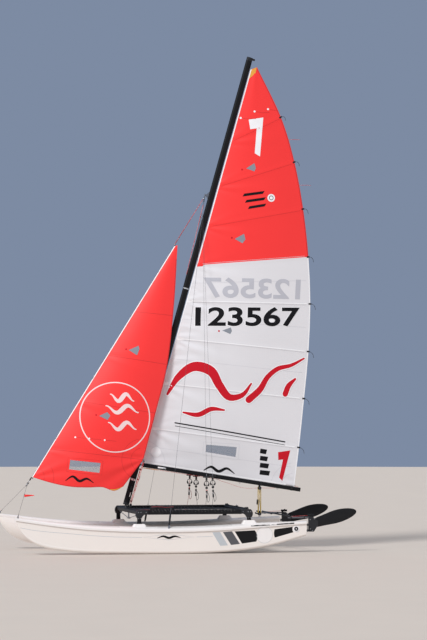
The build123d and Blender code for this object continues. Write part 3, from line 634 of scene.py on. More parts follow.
def tuft(surface, spot, radius, tail, width):
    # a patch with a streamer aft of it; the tail's points are given from the patch
    s, z = spot
    draw(surface, whiteTape, circle(spot, radius, 24))
    draw(surface, seamRed, strip([(s + ds, z + dz) for ds, dz in tail], width))


def bowedEdge(start, end, bow, count=16):
    # a line bowed aside by a share of its own length
    t = np.linspace(0, 1, count)[:, None]
    start, end = np.array(start), np.array(end)
    across = np.array([-(end - start)[1], (end - start)[0]])
    return start * (1 - t) + end * t + across * bow * 4 * t * (1 - t)


def grownQuad(corners, by):
    # the same four corners moved outwards from their middle
    corners = np.array(corners, float)
    return corners + np.sign(corners - corners.mean(0)) * by


# sails

mastPlace = {"foot": (2.100, 0.796), "rake": math.radians(15.75), "luffBack": 0.066, "eye": (0.1162, 5.577)}
bridleApex = at(0.372, 0, 1.165)


def onMast(back, up, port=0.0):
    # a point behind the mast's middle line, at a distance up along it
    r = mastPlace["rake"]
    s = mastPlace["foot"][0] + back * math.cos(r) + up * math.sin(r)
    z = mastPlace["foot"][1] - back * math.sin(r) + up * math.cos(r)
    return at(s, port, z)


def luffAt(z):
    rake = mastPlace["rake"]
    up = (z - mastPlace["foot"][1] + mastPlace["luffBack"] * math.sin(rake)) / math.cos(rake)
    return onMast(mastPlace["luffBack"], up)


mastEye = onMast(-mastPlace["eye"][0], mastPlace["eye"][1])
turnLine = unit(mastEye - onMast(0, 0))
hounds = mastEye - turnLine * 0.030


def creases(points, folds):
    # each fold starts at a point and runs at an angle, widening and fading as it goes
    lift = np.zeros(points.shape[:-1])
    for s, z, degrees, reach, high, wide in folds:
        a = math.radians(degrees)
        dx = -(points[..., 0] - bowX) - s
        dz = points[..., 2] - z
        along = dx * math.cos(a) + dz * math.sin(a)
        across = -dx * math.sin(a) + dz * math.cos(a)
        grown = wide + 0.1 * np.clip(along, 0, None)
        fade = np.clip(along / 0.05, 0, 1) * np.exp(-np.clip(along, 0, None) / reach)
        lift += high * fade * np.exp(-((across / grown) ** 2))
    return lift


def cloth(grid, thickness):
    # both faces of a cloth and its rim, as one closed mesh
    normal = unit(np.cross(np.gradient(grid, axis=1), np.gradient(grid, axis=0))) * thickness / 2
    rows, columns = grid.shape[:2]
    points = np.vstack([(grid + normal).reshape(-1, 3), (grid - normal).reshape(-1, 3)])
    front = gridQuads(rows, columns)
    count = rows * columns
    behind = [[i + count for i in q[::-1]] for q in front]
    index = np.arange(count).reshape(rows, columns)
    loop = np.concatenate([index[0, :-1], index[:-1, -1], index[-1, :0:-1], index[:0:-1, 0]]).tolist()
    rim = [[b, a, a + count, b + count] for a, b in zip(loop, loop[1:] + loop[:1])]
    return points, front + behind + rim


def insideQuad(stations, heights, corners):
    # true where a point is on the same side of all four edges
    corners = np.array(corners, float)
    sides = []
    for a, b in zip(corners, np.roll(corners, -1, axis=0)):
        sides.append((b[0] - a[0]) * (heights - a[1]) - (b[1] - a[1]) * (stations - a[0]))
    sides = np.array(sides)
    return np.all(sides > 0, axis=0) | np.all(sides < 0, axis=0)


def clothPiece(name, grid, thickness, materials, cells, body):
    # cells says which material each grid cell has
    piece = newPiece(name, cloth(grid, thickness), materials, body)
    flat = cells.reshape(-1).tolist()
    edge = np.concatenate([cells[0, :], cells[:, -1], cells[-1, ::-1], cells[::-1, 0]]).tolist()
    piece.data.polygons.foreach_set("material_index", flat + flat + edge)
    return piece


def cellMiddles(grid):
    middle = (grid[:-1, :-1] + grid[1:, 1:] + grid[:-1, 1:] + grid[1:, :-1]) / 4
    return bowX - middle[..., 0], middle[..., 2]


def sailGrid(luffs, leeches, depths, columns, fullest):
    # straight chords from luff to leech, bowed to port by depth times a sine that peaks at the fullest share
    bow = np.sin(np.pi * columns ** (math.log(0.5) / math.log(fullest)))
    grid = luffs[:, None] * (1 - columns)[None, :, None] + leeches[:, None] * columns[None, :, None]
    grid[:, :, 1] += depths[:, None] * bow[None, :]
    return grid


mainSail = {
    "rows": [
        # height on the luff, leech station, leech height, leech y, depth of the curve
        (1.526, 5.098, 1.093, 0.000, 0.012),
        (2.129, 5.179, 1.780, 0.015, 0.074),
        (2.907, 5.268, 2.637, 0.028, 0.110),
        (3.689, 5.345, 3.462, 0.040, 0.134),
        (4.341, 5.375, 4.298, 0.052, 0.128),
        (4.965, 5.340, 5.122, 0.060, 0.118),
        (5.653, 5.245, 5.963, 0.062, 0.102),
        (6.359, 5.090, 6.787, 0.056, 0.078),
        (7.148, 4.850, 7.573, 0.042, 0.050),
        (8.400, 4.430, 8.445, 0.004, 0.006),
    ],
    "finer": 26, "columns": 150, "thickness": 0.0012, "fullest": 0.43, "redFrom": 5, "flat": (3.02, 7.55),
    "window": [(3.493, 1.856), (4.072, 1.810), (4.054, 1.601), (3.484, 1.691)],
}
jibSail = {
    "rows": [
        # share of the luff, leech station, leech height, leech y, depth of the curve
        (0.0000, 2.022, 1.122, 0.190, 0.060),
        (0.1185, 2.371, 1.585, 0.214, 0.100),
        (0.3220, 2.590, 2.390, 0.186, 0.120),
        (0.5180, 2.806, 3.232, 0.146, 0.096),
        (0.7500, 2.940, 4.330, 0.080, 0.048),
        (0.9850, 3.010, 5.314, 0.016, 0.006),
    ],
    "finer": 32, "columns": 110, "thickness": 0.001, "fullest": 0.44,
    "foot": [(0, 0), (0.19, 0.063), (0.43, 0.099), (0.62, 0.078), (0.77, 0.051), (0.91, 0.086), (1, 0)],
    "flat": (2.05, 4.90),
    "start": 0.150, "luff": 4.790, "behind": 0.0032,
    "window": [(1.086, 1.599), (1.637, 1.544), (1.616, 1.345), (1.065, 1.409)],
}

rows = np.array(mainSail["rows"])
knots = np.arange(len(rows))
rowAt = np.linspace(0, len(rows) - 1, (len(rows) - 1) * mainSail["finer"] + 1)
columnAt = np.linspace(0, 1, mainSail["columns"])
luffs = np.array([luffAt(z) for z in smoothCurve(knots, rows[:, 0], rowAt)[:, 0]])
gooseneck = onMast(mastPlace["luffBack"], 0.742)
boomFromMast = math.radians(83.3)
boomLean = boomFromMast + mastPlace["rake"]
boomAlong = at(math.sin(boomLean), 0, math.cos(boomLean)) - at(0, 0, 0)
boomUp = np.array([boomAlong[2], 0, -boomAlong[0]])
luffs[0] = gooseneck + boomUp * 0.0353 + boomAlong * 0.006
leeches = smoothCurve(knots, np.stack([bowX - rows[:, 1], rows[:, 3], rows[:, 2]], 1), rowAt)
depths = smoothCurve(knots, rows[:, 4], rowAt)[:, 0]
mainGrid = sailGrid(luffs, leeches, depths, columnAt, mainSail["fullest"])

# folds fan out from each batten's luff end, from the tack, the clew and the head
# each fold: station, height, degrees, reach, height of the fold and its width
mainFolds = []
for i, (z, s2, z2, _, _) in enumerate(rows[1:9]):
    s = bowX - luffAt(z)[0]
    slope = math.degrees(math.atan2(z2 - z, s2 - s))
    strong = 3.2 if i < 4 else 1.5
    mainFolds += [
        (s, z - 0.015, slope - 9, 0.60, -0.006 * strong, 0.022),
        (s, z - 0.02, slope - 20, 0.45, 0.006 * strong, 0.020),
        (s, z + 0.02, slope + 12, 0.40, 0.004 * strong, 0.018),
        (s, z - 0.05, slope - 34, 0.30, -0.005 * strong, 0.016),
    ]
for z, degrees, reach, high in (
    (4.72, -30, 0.20, 0.012), (4.60, -34, 0.24, -0.012), (4.28, -28, 0.26, 0.013), (4.12, -22, 0.30, -0.013),
    (3.92, -14, 0.34, 0.013), (3.80, -4, 0.34, -0.012), (3.52, -6, 0.34, 0.012), (3.40, -2, 0.36, -0.012),
    (3.30, 4, 0.34, 0.011), (3.20, 8, 0.30, -0.010), (2.7, -14, 0.3, 0.010), (2.5, -10, 0.3, -0.009),
    (2.2, 20, 0.4, 0.008),
):
    mainFolds.append((bowX - luffAt(z)[0], z, degrees, reach, high, 0.013))
mainFolds += [
    (2.40, 1.57, -6, 1.4, 0.010, 0.03), (2.40, 1.62, -3, 1.0, -0.007, 0.025),
    (2.40, 1.66, 6, 0.7, 0.006, 0.022),
    (5.09, 1.14, 171, 1.3, 0.008, 0.03), (5.09, 1.18, 165, 0.9, -0.006, 0.025),
    (5.09, 1.24, 150, 0.6, 0.005, 0.022),
    (4.35, 8.38, -104, 1.1, -0.006, 0.03), (4.40, 8.38, -96, 0.9, 0.005, 0.025),
]


def stillEdges(columns, within=0.02):
    # folds die out within a small share of the luff and the leech
    return np.minimum(1, columns / within) * np.minimum(1, (1 - columns) / within)


stillEdge = stillEdges(columnAt)
mainGrid[:, :, 1] += creases(mainGrid, mainFolds) * stillEdge[None, :]
# each batten stands a little proud of the cloth between its two edges
fromBatten = np.min(abs(rowAt[:, None] - np.arange(1, 9)[None, :]), axis=1)
mainGrid[:, :, 1] += (0.004 * np.exp(-((fromBatten / 0.035) ** 2)))[:, None] * stillEdge[None, :]
mainCells = np.zeros((len(rowAt) - 1, len(columnAt) - 1), int)
mainCells[rowAt[:-1] >= mainSail["redFrom"] - 1e-6, :] = 1
mainCells[insideQuad(*cellMiddles(mainGrid), mainSail["window"])] = 2
mainPiece = clothPiece("mainsail_sheet", mainGrid, mainSail["thickness"],
                       [whiteCloth, redCloth, clearWindow], mainCells, "boom")
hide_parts("mainsail")
print("mainsail done")

jibRows = np.array(jibSail["rows"])
jibKnots = np.arange(len(jibRows))
jibAt = np.linspace(0, len(jibRows) - 1, (len(jibRows) - 1) * jibSail["finer"] + 1)
jibColumns = np.linspace(0, 1, jibSail["columns"])
stayLine = unit(hounds - bridleApex)
stayBehind = np.array([-stayLine[2], 0, stayLine[0]])
share = smoothCurve(jibKnots, jibRows[:, 0], jibAt)
upStay = jibSail["start"] + share * jibSail["luff"]
jibLuffs = bridleApex + stayLine * upStay + stayBehind * jibSail["behind"]
leech = np.stack([bowX - jibRows[:, 1], jibRows[:, 3], jibRows[:, 2]], 1)
jibLeeches = smoothCurve(jibKnots[1:], leech[1:], np.maximum(jibAt, 1))
below = jibAt < 1
jibLeeches[below] = leech[0] + (leech[1] - leech[0]) * jibAt[below][:, None]
jibDepths = smoothCurve(jibKnots, jibRows[:, 4], jibAt)[:, 0]
jibGrid = sailGrid(jibLuffs, jibLeeches, jibDepths, jibColumns, jibSail["fullest"])
footShare, footDrop = np.array(jibSail["foot"]).T
drop = smoothCurve(footShare, footDrop, jibColumns)[:, 0]
jibGrid[:, :, 2] -= np.clip(1 - jibAt / 0.9, 0, 1)[:, None] ** 1.5 * drop[None, :]
jibFolds = [
    (0.49, 1.30, 22, 1.1, 0.012, 0.03), (0.49, 1.29, 12, 1.0, -0.010, 0.03),
    (0.49, 1.27, 3, 0.8, 0.009, 0.03),
    (2.35, 1.57, 196, 1.1, 0.013, 0.035), (2.35, 1.56, 208, 0.9, -0.013, 0.03),
    (2.34, 1.54, 220, 0.7, 0.011, 0.03),
    (2.36, 1.62, 178, 1.0, -0.010, 0.03), (2.36, 1.66, 166, 0.8, 0.008, 0.03),
    (1.777, 3.398, -14, 0.6, -0.006, 0.03), (1.777, 3.37, -24, 0.5, 0.005, 0.03),
    (1.207, 2.602, -14, 0.6, 0.006, 0.03), (1.207, 2.56, -26, 0.5, -0.005, 0.03),
    (0.753, 1.774, -6, 0.7, -0.006, 0.03), (0.76, 1.74, -16, 0.6, 0.006, 0.03),
]
jibGrid[:, :, 1] += creases(jibGrid, jibFolds) * stillEdges(jibColumns)[None, :]
jibCells = np.zeros((len(jibAt) - 1, len(jibColumns) - 1), int)
jibCells[insideQuad(*cellMiddles(jibGrid), jibSail["window"])] = 1
jibPiece = clothPiece("jib_sheet", jibGrid, jibSail["thickness"], [redCloth, clearWindow], jibCells,
                      "platform")
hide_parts("jib")
print("jib done")

onMain = {"name": "mainsail", "tree": treeOf(mainPiece), "body": "boom", "slot": "mainsail_cloth"}
onJib = {"name": "jib", "tree": treeOf(jibPiece), "body": "platform", "slot": "jib_cloth"}

mainMarks = {
    "number": "123567", "bold": 0.024, "edge": 0.015,
    "numberPlace": [(3.31, 3.90), (5.17, 3.90), (5.18, 4.24), (3.32, 4.24)],
    "ghostPlace": [(3.46, 4.40), (5.18, 4.37), (5.20, 4.73), (3.46, 4.76)],
    "topNumber": [(4.37, 6.86), (4.62, 6.90), (4.53, 7.56), (4.27, 7.52)],
    "footNumber": [(4.82, 1.20), (4.98, 1.19), (5.02, 1.73), (4.80, 1.70)],
    "windows": [
        [(4.219, 6.662), (4.362, 6.757), (4.389, 6.669), (4.362, 6.611)],
        [(4.007, 5.426), (4.170, 5.518), (4.195, 5.42), (4.142, 5.350)],
        [(3.780, 3.827), (3.930, 3.881), (3.950, 3.82), (3.921, 3.765)],
    ],
    "dots": [(4.146, 6.642), (3.957, 5.446), (3.722, 3.818)],
    "tufts": [(4.134, 7.55), (4.375, 7.664), (4.617, 7.708)],
    "patch": (2.63, 1.713), "disc": (4.66, 6.15),
    "headBoard": [(4.26, 8.22), (4.305, 8.40), (4.425, 8.44), (4.40, 8.34), (4.30, 8.25)],
    "small": [(3.46, 1.38), (3.60, 1.45), (3.74, 1.37), (3.88, 1.42), (4.02, 1.33)],
    # pinstripes with their widths, and the start and length of each slanting bar
    "stripes": [([(2.96, 2.22), (3.9, 2.06), (4.92, 1.88)], 0.022),
                ([(2.96, 2.165), (3.9, 2.005), (4.92, 1.825)], 0.010)],
    "bars": [(4.15, 6.17, 0.36), (4.19, 6.06, 0.34), (4.24, 5.95, 0.30)],
    # each doubled corner: its centre and the angles between which its seams run
    "corners": [((2.37, 1.50), -8, 74), ((5.09, 1.09), 97, 171)],
}
# brush strokes: each is a path and the widths along it
waves = [
    ([(2.83, 2.72), (3.02, 3.02), (3.30, 3.20), (3.58, 3.12), (3.74, 2.86), (3.92, 2.66), (4.14, 2.70),
      (4.30, 2.90)],
     [0.04, 0.10, 0.15, 0.17, 0.15, 0.13, 0.09, 0.03]),
    ([(4.26, 2.62), (4.46, 2.80), (4.60, 3.02), (4.78, 3.16), (5.02, 3.22), (5.26, 3.34)],
     [0.12, 0.11, 0.09, 0.08, 0.06, 0.03]),
    ([(3.10, 2.40), (3.36, 2.36), (3.60, 2.46), (3.82, 2.44)], [0.03, 0.08, 0.08, 0.03]),
    ([(4.92, 2.72), (4.98, 2.86), (5.10, 2.98)], [0.10, 0.09, 0.04]),
]


def swapped(corners):
    return [corners[1], corners[0], corners[3], corners[2]]


# sail numbers, black as read, with pale grey painted shade where the other side's numbers show through the
# cloth
m = mainMarks
numberEdge = grownQuad(m["numberPlace"], m["edge"])
mark(onMain, numerals(m["number"], numberEdge, m["bold"] + 0.02), whiteTape, (1,), 0.0018, 0.03)
mark(onMain, numerals(m["number"], m["numberPlace"], m["bold"]), blackInk, (1,), 0.0034, 0.03)
# the starboard side's numbers seen through the cloth, as pale grey painted shade
mark(onMain, numerals(m["number"], m["ghostPlace"], m["bold"], mirror=True), showThroughShade, (1,))
mark(onMain, numerals(m["number"], swapped(m["ghostPlace"]), m["bold"]), blackInk, (-1,), 0.0034, 0.03)
# the port side's numbers seen through the cloth, as pale grey painted shade
mark(onMain, numerals(m["number"], swapped(m["numberPlace"]), m["bold"], mirror=True), showThroughShade, (-1,))
for side, turnIt in ((1, list), (-1, swapped)):
    mark(onMain, numerals("7", turnIt(m["topNumber"]), 0.06), whiteTape, (side,))
    mark(onMain, numerals("7", turnIt(m["footNumber"]), 0.07), redInk, (side,))
print("numbers done")


def alongRow(grid, rowSteps, knot, drop=0.0, start=0.0, end=1.0):
    # stations and heights along one row of a sail, between two shares of its width
    row = np.argmin(abs(rowSteps - knot))
    points = grid[row][int(start * (grid.shape[1] - 1)): int(end * (grid.shape[1] - 1)) + 1: 6]
    return [(bowX - p[0], p[2] + drop) for p in points]


# battens: a darker line beside each pocket, which is its seam and painted shade beside the raised pocket, a
# white tape over those in the white part, and a patch at the luff end
for i in range(1, 9):
    inWhite = i < mainSail["redFrom"]
    seamAndShade = seamRed if i > mainSail["redFrom"] else seamPale
    drop = 0.020 if i == mainSail["redFrom"] else -0.020
    # one darker line beside the pocket: its seam, with painted shade
    draw(onMain, seamAndShade, strip(alongRow(mainGrid, rowAt, i, drop), 0.005), lift=0.0012)
    if inWhite:
        draw(onMain, whiteTape, strip(alongRow(mainGrid, rowAt, i), 0.020), lift=0.0016)
    tape = alongRow(mainGrid, rowAt, i, 0, 0.01, 0.075)
    draw(onMain, whiteTape if inWhite else redCloth, strip(tape, 0.05), lift=0.0020, fine=0.03)
for knot in (0.5, 2.55, 3.5, 4.5):
    draw(onMain, seamPale, strip(alongRow(mainGrid, rowAt, knot), 0.004), lift=0.0012)

for path, widths in waves:
    path = curved(path, 40)
    widths = smoothCurve(np.linspace(0, 1, len(widths)), widths, np.linspace(0, 1, 40))[:, 0]
    draw(onMain, whiteTape, ribbon(path, widths + 0.035), lift=0.0040, fine=0.03)
    draw(onMain, redInk, ribbon(path, widths), lift=0.0056, fine=0.03)
# two dark pinstripes below them, and a ladder of dark bars beside the low number
for stripe, width in m["stripes"]:
    draw(onMain, blackInk, strip(stripe, width))
for i in range(4):
    low, far = 1.31 + i * 0.125, 4.64 - 0.02 * i
    draw(onMain, blackInk, [(4.47, low), (far, low - 0.02), (far + 0.02, low + 0.06), (4.48, low + 0.08)])
# three slanting bars and a disc in the red part, and a small wave under the window
for s, z, long in m["bars"]:
    bar = [(s, z), (s + long, z + 0.05), (s + long + 0.03, z + 0.10), (s + 0.03, z + 0.05)]
    draw(onMain, blackInk, bar)
draw(onMain, whiteTape, circle(m["disc"], 0.068))
draw(onMain, blackInk, circle(m["disc"], 0.040), circle(m["disc"], 0.030), lift=0.0026)
draw(onMain, blackInk, smallWave(m["small"], 0.012, 0.04))
draw(onMain, whiteTape, circle(m["patch"], 0.085))
smallWindows(onMain, m["windows"], m["dots"], 0.0016, 0.016)
for spot in m["tufts"]:
    tuft(onMain, spot, 0.018, [(0.03, -0.002), (0.14, -0.02), (0.26, -0.012)], 0.008)
windowFrame(onMain, mainSail["window"], whiteCloth, seamPale, 0.032, 0.018)
draw(onMain, orangeCloth, m["headBoard"])
leechLine = [(bowX - p[0] - 0.012, p[2]) for p in mainGrid[::13, -1]]
luffRows = np.unique(np.r_[0:len(mainGrid):13, len(mainGrid) - 1])
luffLine = [(bowX - p[0] + 0.010, p[2]) for p in mainGrid[luffRows, 0]]
footLine = [(bowX - p[0], p[2] + 0.02) for p in mainGrid[0, ::10]]
draw(onMain, whiteTape, strip(leechLine[:11], 0.022))
draw(onMain, seamRed, strip(leechLine[10:], 0.018))
draw(onMain, whiteTape, strip(luffLine, 0.018), lift=0.0024)
draw(onMain, whiteTape, strip(footLine, 0.03), lift=0.002)
cornerSeams(onMain, seamPale, m["corners"], (0.24, 0.42), 0.005, 16)
mainThings = printMarks(onMain)
print("mainsail marks done")

jibMarks = {
    "ring": (1.88, 2.32), "radius": 0.612, "line": 0.020,
    "windows": [
        [(2.128, 3.485), (2.300, 3.560), (2.312, 3.50), (2.269, 3.393)],
        [(1.600, 2.345), (1.739, 2.410), (1.790, 2.35), (1.744, 2.272)],
    ],
    "dots": [(2.085, 3.50), (1.55, 2.36)],
    "tufts": [(1.192, 1.976), (1.427, 1.953), (1.691, 1.926)],
    # how far each wave is above the ring's centre, and half its length
    "waves": [(0.34, 0.20), (0.14, 0.28), (-0.15, 0.24)],
    "small": [(1.02, 1.23), (1.14, 1.30), (1.26, 1.22), (1.38, 1.26), (1.50, 1.19)],
    "topSeam": [(2.28, 4.148), (2.941, 4.081)], "topDisc": (2.98, 4.052),
    "clewTape": [(1.80, 1.066), (1.87, 1.064), (1.95, 1.083), (2.01, 1.112)],
    "corners": [((0.46, 1.29), -20, 44), ((2.35, 1.585), 100, 246)],
}
m = jibMarks
outer, inner = circle(m["ring"], m["radius"], 120), circle(m["ring"], m["radius"] - m["line"], 120)
draw(onJib, softWhite, outer, inner)
sweep = np.linspace(-1, 1, 40)
for rise, size in m["waves"]:
    heights = m["ring"][1] + rise + 0.06 * np.sin(sweep * np.pi * 1.5)
    path = np.stack([m["ring"][0] + 0.12 + size * sweep, heights], 1)
    draw(onJib, softWhite, ribbon(path, 0.02 + 0.06 * np.cos(sweep * np.pi / 2) ** 2))
smallWindows(onJib, m["windows"], m["dots"], 0.0024, 0.014)
for spot in m["tufts"]:
    tuft(onJib, spot, 0.015, [(0.02, 0), (0.1, -0.01), (0.2, -0.02)], 0.007)
draw(onJib, blackInk, smallWave(m["small"], 0.010, 0.035))
# darker red lines along the battens: their seams, with painted shade beside the batten pockets
for i in (1, 2, 3):
    draw(onJib, seamRed, strip(alongRow(jibGrid, jibAt, i), 0.008), lift=0.0013)
draw(onJib, seamRed, strip(m["topSeam"], 0.008), lift=0.0013)
draw(onJib, whiteTape, circle(m["topDisc"], 0.016, 24))
windowFrame(onJib, jibSail["window"], redCloth, seamRed, 0.026, 0.014)
draw(onJib, orangeCloth, strip(m["clewTape"], 0.018), lift=0.002)
luffRows = np.unique(np.r_[0:len(jibGrid):13, len(jibGrid) - 1])
jibLuffLine = [(bowX - p[0] + 0.006, p[2]) for p in jibGrid[luffRows, 0]]
draw(onJib, whiteTape, strip(jibLuffLine, 0.018), lift=0.002)
jibLeechLine = [(bowX - p[0] - 0.010, p[2]) for p in jibGrid[32::10, -1]]
draw(onJib, seamRed, strip(jibLeechLine, 0.014), lift=0.002)
cornerSeams(onJib, seamRed, m["corners"], (0.20, 0.36), 0.006, 20)
jibThings = printMarks(onJib)
print("jib marks done")


# hulls: stripes and blocks on both outer sides

hullMarks = {
    "pale": [(3.393, .360), (3.530, .364), (3.669, .135), (3.535, .129)],
    "grey": [(3.578, .363), (3.737, .374), (3.879, .157), (3.725, .140)],
    "aheadStraight": [(3.916, .162), (3.786, .373), (4.137, .389)],
    "disc": (4.309, .309), "radius": 0.154,
    "pinstripe": [(.090, .462), (.30, .42), (.60, .385), (.929, .358), (1.273, .324), (1.70, .296),
                  (2.170, .284)],
    "diamond": [(2.188, .286), (2.638, .342), (3.081, .284), (2.638, .235)],
    "after": [(3.125, .284), (3.40, .290)], "port": (4.870, .407), "bow": (0.030, 0.515),
    "small": [(2.44, .272), (2.54, .30), (2.64, .272), (2.74, .298), (2.84, .276)],
}
m = hullMarks
onHull = {"name": "hull", "tree": {1: treeOf(nodes["hull_port"]), -1: treeOf(nodes["hull_starboard"])},
          "body": "platform", "slot": "hull_gelcoat"}
ahead = np.vstack([m["aheadStraight"], bowedEdge(m["aheadStraight"][-1], (4.166, .195), 0.16)[1:]])
aft = np.vstack([bowedEdge((4.493, .259), (4.488, .403), 0.10),
                 bowedEdge((4.808, .443), (4.820, .347), -0.10)])
diamond = np.array(m["diamond"])
diamondHole = diamond.mean(0) + (diamond - diamond.mean(0)) * np.array([0.975, 0.86])
for outlines, ink in (
    ([m["pale"]], palePaint), ([m["grey"]], greyPaint), ([ahead], blackPaint), ([aft], blackPaint),
    ([circle(m["disc"], m["radius"] - 0.01), circle(m["disc"], m["radius"] - 0.015)], palePaint),
    ([strip(m["pinstripe"], 0.007)], palePaint), ([strip(m["after"], 0.007)], palePaint),
    ([diamond, diamondHole], palePaint),
    ([circle(m["disc"], m["radius"] - 0.016)], discWhite), ([circle(m["port"], 0.066)], discWhite),
    ([circle(m["bow"], 0.011)], blackPaint),
):
    draw(onHull, ink, *outlines, lift=0.0005, fine=0.03)
# a small wave in the diamond, and bars along the deck's edge
draw(onHull, blackPaint, smallWave(m["small"], 0.010, 0.030), lift=0.0005, fine=0.03)
printMarks(onHull)
onDeck = {"name": "deck", "tree": {1: treeOf(nodes["deck_port"]), -1: treeOf(nodes["deck_starboard"])},
          "body": "platform", "slot": "hull_gelcoat"}
for low, high in ((4.068, 4.400), (4.520, 4.829)):
    z = [0.455 + (s - 4.068) * 0.0526 for s in (low, high)]
    draw(onDeck, blackPaint, [(low, z[0]), (high, z[1]), (high, z[1] + 0.020), (low, z[0] + 0.018)],
         lift=0.0014, fine=0.01)
draw(onDeck, greyPaint, [(4.40, 0.473), (4.52, 0.479), (4.52, 0.497), (4.40, 0.491)], lift=0.0006)
printMarks(onDeck)
print("hull marks done")


# pieces on each side

def bothSides(name, makeShape, finish, body, sharp=35):
    # makeShape takes 1 for port and -1 for starboard
    return [newPiece(f"{name}_{tag}", makeShape(side), finish, body, sharp)
            for side, tag in bothTags]


# inspection ports, drain plugs and grip areas on the hulls

portFitting = {"place": (4.870, 0.407), "radius": 0.050, "proud": 0.007, "cap": 0.036, "middle": 0.012}


def portMiddle(side):
    s, z = portFitting["place"]
    return onHull["tree"][side].ray_cast(Vector((bowX - s, side * 4, z)), Vector((0, -side, 0)))[0]


def inspectionPort(side):
    # a rim that stands proud of the hull, with a lower middle
    r, proud = portFitting["radius"], portFitting["proud"]
    profile = [(-0.004, r), (proud * 0.6, r), (proud, r * 0.9), (proud, r * 0.78), (proud * 0.5, r * 0.72),
               (proud * 0.5, 0)]
    return turned(profile, portMiddle(side), (0, side, 0), 36)


def portCap(side):
    # a dark ring that screws into the rim
    r, inner = portFitting["cap"], portFitting["middle"]
    profile = [(0.001, r), (0.006, r), (0.008, r * 0.9), (0.008, inner), (0.001, inner)]
    return turned(profile, portMiddle(side), (0, side, 0), 32)


def drainPlug(side):
    # a screw cap low on the transom, with a bar across it
    place = np.array([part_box(f"hull_{dict(bothTags)[side]}")[0].x, side * 1.040, 0.33])
    screw = turned([(-0.004, 0.017), (0.004, 0.017), (0.007, 0.013), (0.007, 0)], place, (-1, 0, 0), 24)
    return [screw, box(place - shift(0.010, 0, 0), (0.008, 0.005, 0.022), bevel=0.001)]


bothSides("inspection_port", inspectionPort, whiteTape, "platform")
bothSides("inspection_cap", portCap, casting, "platform")
bothSides("drain_plug", drainPlug, casting, "platform")

gripArea = {"ends": [(0.55, 1.85), (2.45, 3.80), (4.30, 4.85)], "inset": 0.055, "lift": 0.0007, "step": 0.05}


def gripPanel(side):
    # a grid on the deck, found by rays from above, narrower than the deck by the inset on each side
    def under(s, y):
        return onDeck["tree"][side].ray_cast(Vector((bowX - s, side * y, 2)), Vector((0, 0, -1)))[0]

    shapes = []
    for start, end in gripArea["ends"]:
        stations = np.arange(start, end, gripArea["step"])
        spots = []
        for s in stations:
            ys = [y for y in np.linspace(0.85, 1.25, 81) if under(s, y)]
            for y in np.linspace(min(ys) + gripArea["inset"], max(ys) - gripArea["inset"], 7):
                hit = under(s, y)
                spots.append((hit.x, hit.y, hit.z + gripArea["lift"]))
        faces = gridQuads(len(stations), 7)
        shapes.append((np.array(spots), faces if side > 0 else [f[::-1] for f in faces]))
    return shapes


bothSides("deck_grip", gripPanel, gripGelcoat, "platform", sharp=None)
print("hull fittings done")


# trampoline: two mesh panels, their hems, the lacing between them and round the side rails, and foot straps

trampoline = {
    "front": 2.1834, "back": 4.0316, "middle": 0.018, "side": 0.9974, "z": 0.7035, "sag": 0.003,
    "thick": 0.002,
    "hem": 0.045, "hemThick": 0.0035, "railFrom": 2.3004, "railTo": 3.9146, "railSide": 1.0124,
    "lacing": 0.062, "laceSide": 0.036, "cord": 0.0028, "railMiddle": (1.040, 0.722),
    "overRail": (0.0305, 0.0295), "strapSide": 0.40, "strapWidth": 0.05,
}
t = trampoline
panelS = np.linspace(t["front"], t["back"], 40)
panelY = np.linspace(t["middle"], t["side"], 24)
dip = np.sin(np.pi * np.linspace(0, 1, 40))[:, None] * np.sin(np.pi * np.linspace(0, 1, 24))[None, :]


def panel(side):
    # one side's mesh, which sags a little between its edges
    grid = np.empty((40, 24, 3))
    grid[..., 0] = bowX - panelS[:, None]
    grid[..., 1] = side * panelY[None, :]
    grid[..., 2] = t["z"] - t["sag"] * dip
    if side < 0:
        grid = grid[:, ::-1]
    return cloth(grid, t["thick"])


tramp = newPiece("trampoline_sheet", [panel(1), panel(-1)], meshCloth, "platform")
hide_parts("trampoline")


def hems(side):
    # a band along each beam, one beside the middle and one beside the rail
    half, top = t["hem"] / 2, t["z"] + 0.001
    bands = []
    for s in (t["front"] + half, t["back"] - half):
        bands.append(([at(s, side * t["middle"], top), at(s, side * t["side"], top)], (1, 0, 0)))
    for start, end, y in ((t["front"], t["back"], t["middle"] + half),
                          (t["railFrom"], t["railTo"], t["railSide"] - half)):
        bands.append(([at(start, side * y, top), at(end, side * y, top)], (0, 1, 0)))
    return [webbing(path, t["hem"], t["hemThick"], across) for path, across in bands]


hemPieces = bothSides("trampoline_hem", hems, hemCloth, "platform")
top = t["z"] + 0.003
eyelets = np.arange(t["front"] + 0.06, t["back"] - 0.04, t["lacing"])
laceLow, laceHigh = [[at(eyelets[i], side * t["laceSide"], top) for i in (0, -1)] for side in (-1, 1)]
middleLacing = zigzag(laceLow, laceHigh, len(eyelets))
lace = newPiece("middle_lacing", tube(rounded(middleLacing, 0.12), t["cord"], 8, (0, 0, 1)), whiteRope,
                "platform")
grommets = [ring(at(s, y, top), (0, 0, 1), 0.007, 0.0018, 14, 6) for s in eyelets
            for y in (-t["laceSide"], t["laceSide"])]
railEyelets = np.arange(2.36, 3.88, t["lacing"] * 0.92)
grommets += [ring(at(s, side * 0.990, top), (0, 0, 1), 0.006, 0.0016, 12, 6) for s in railEyelets
             for side in (1, -1)]
eyeletPiece = newPiece("trampoline_eyelets", grommets, steel, "platform")


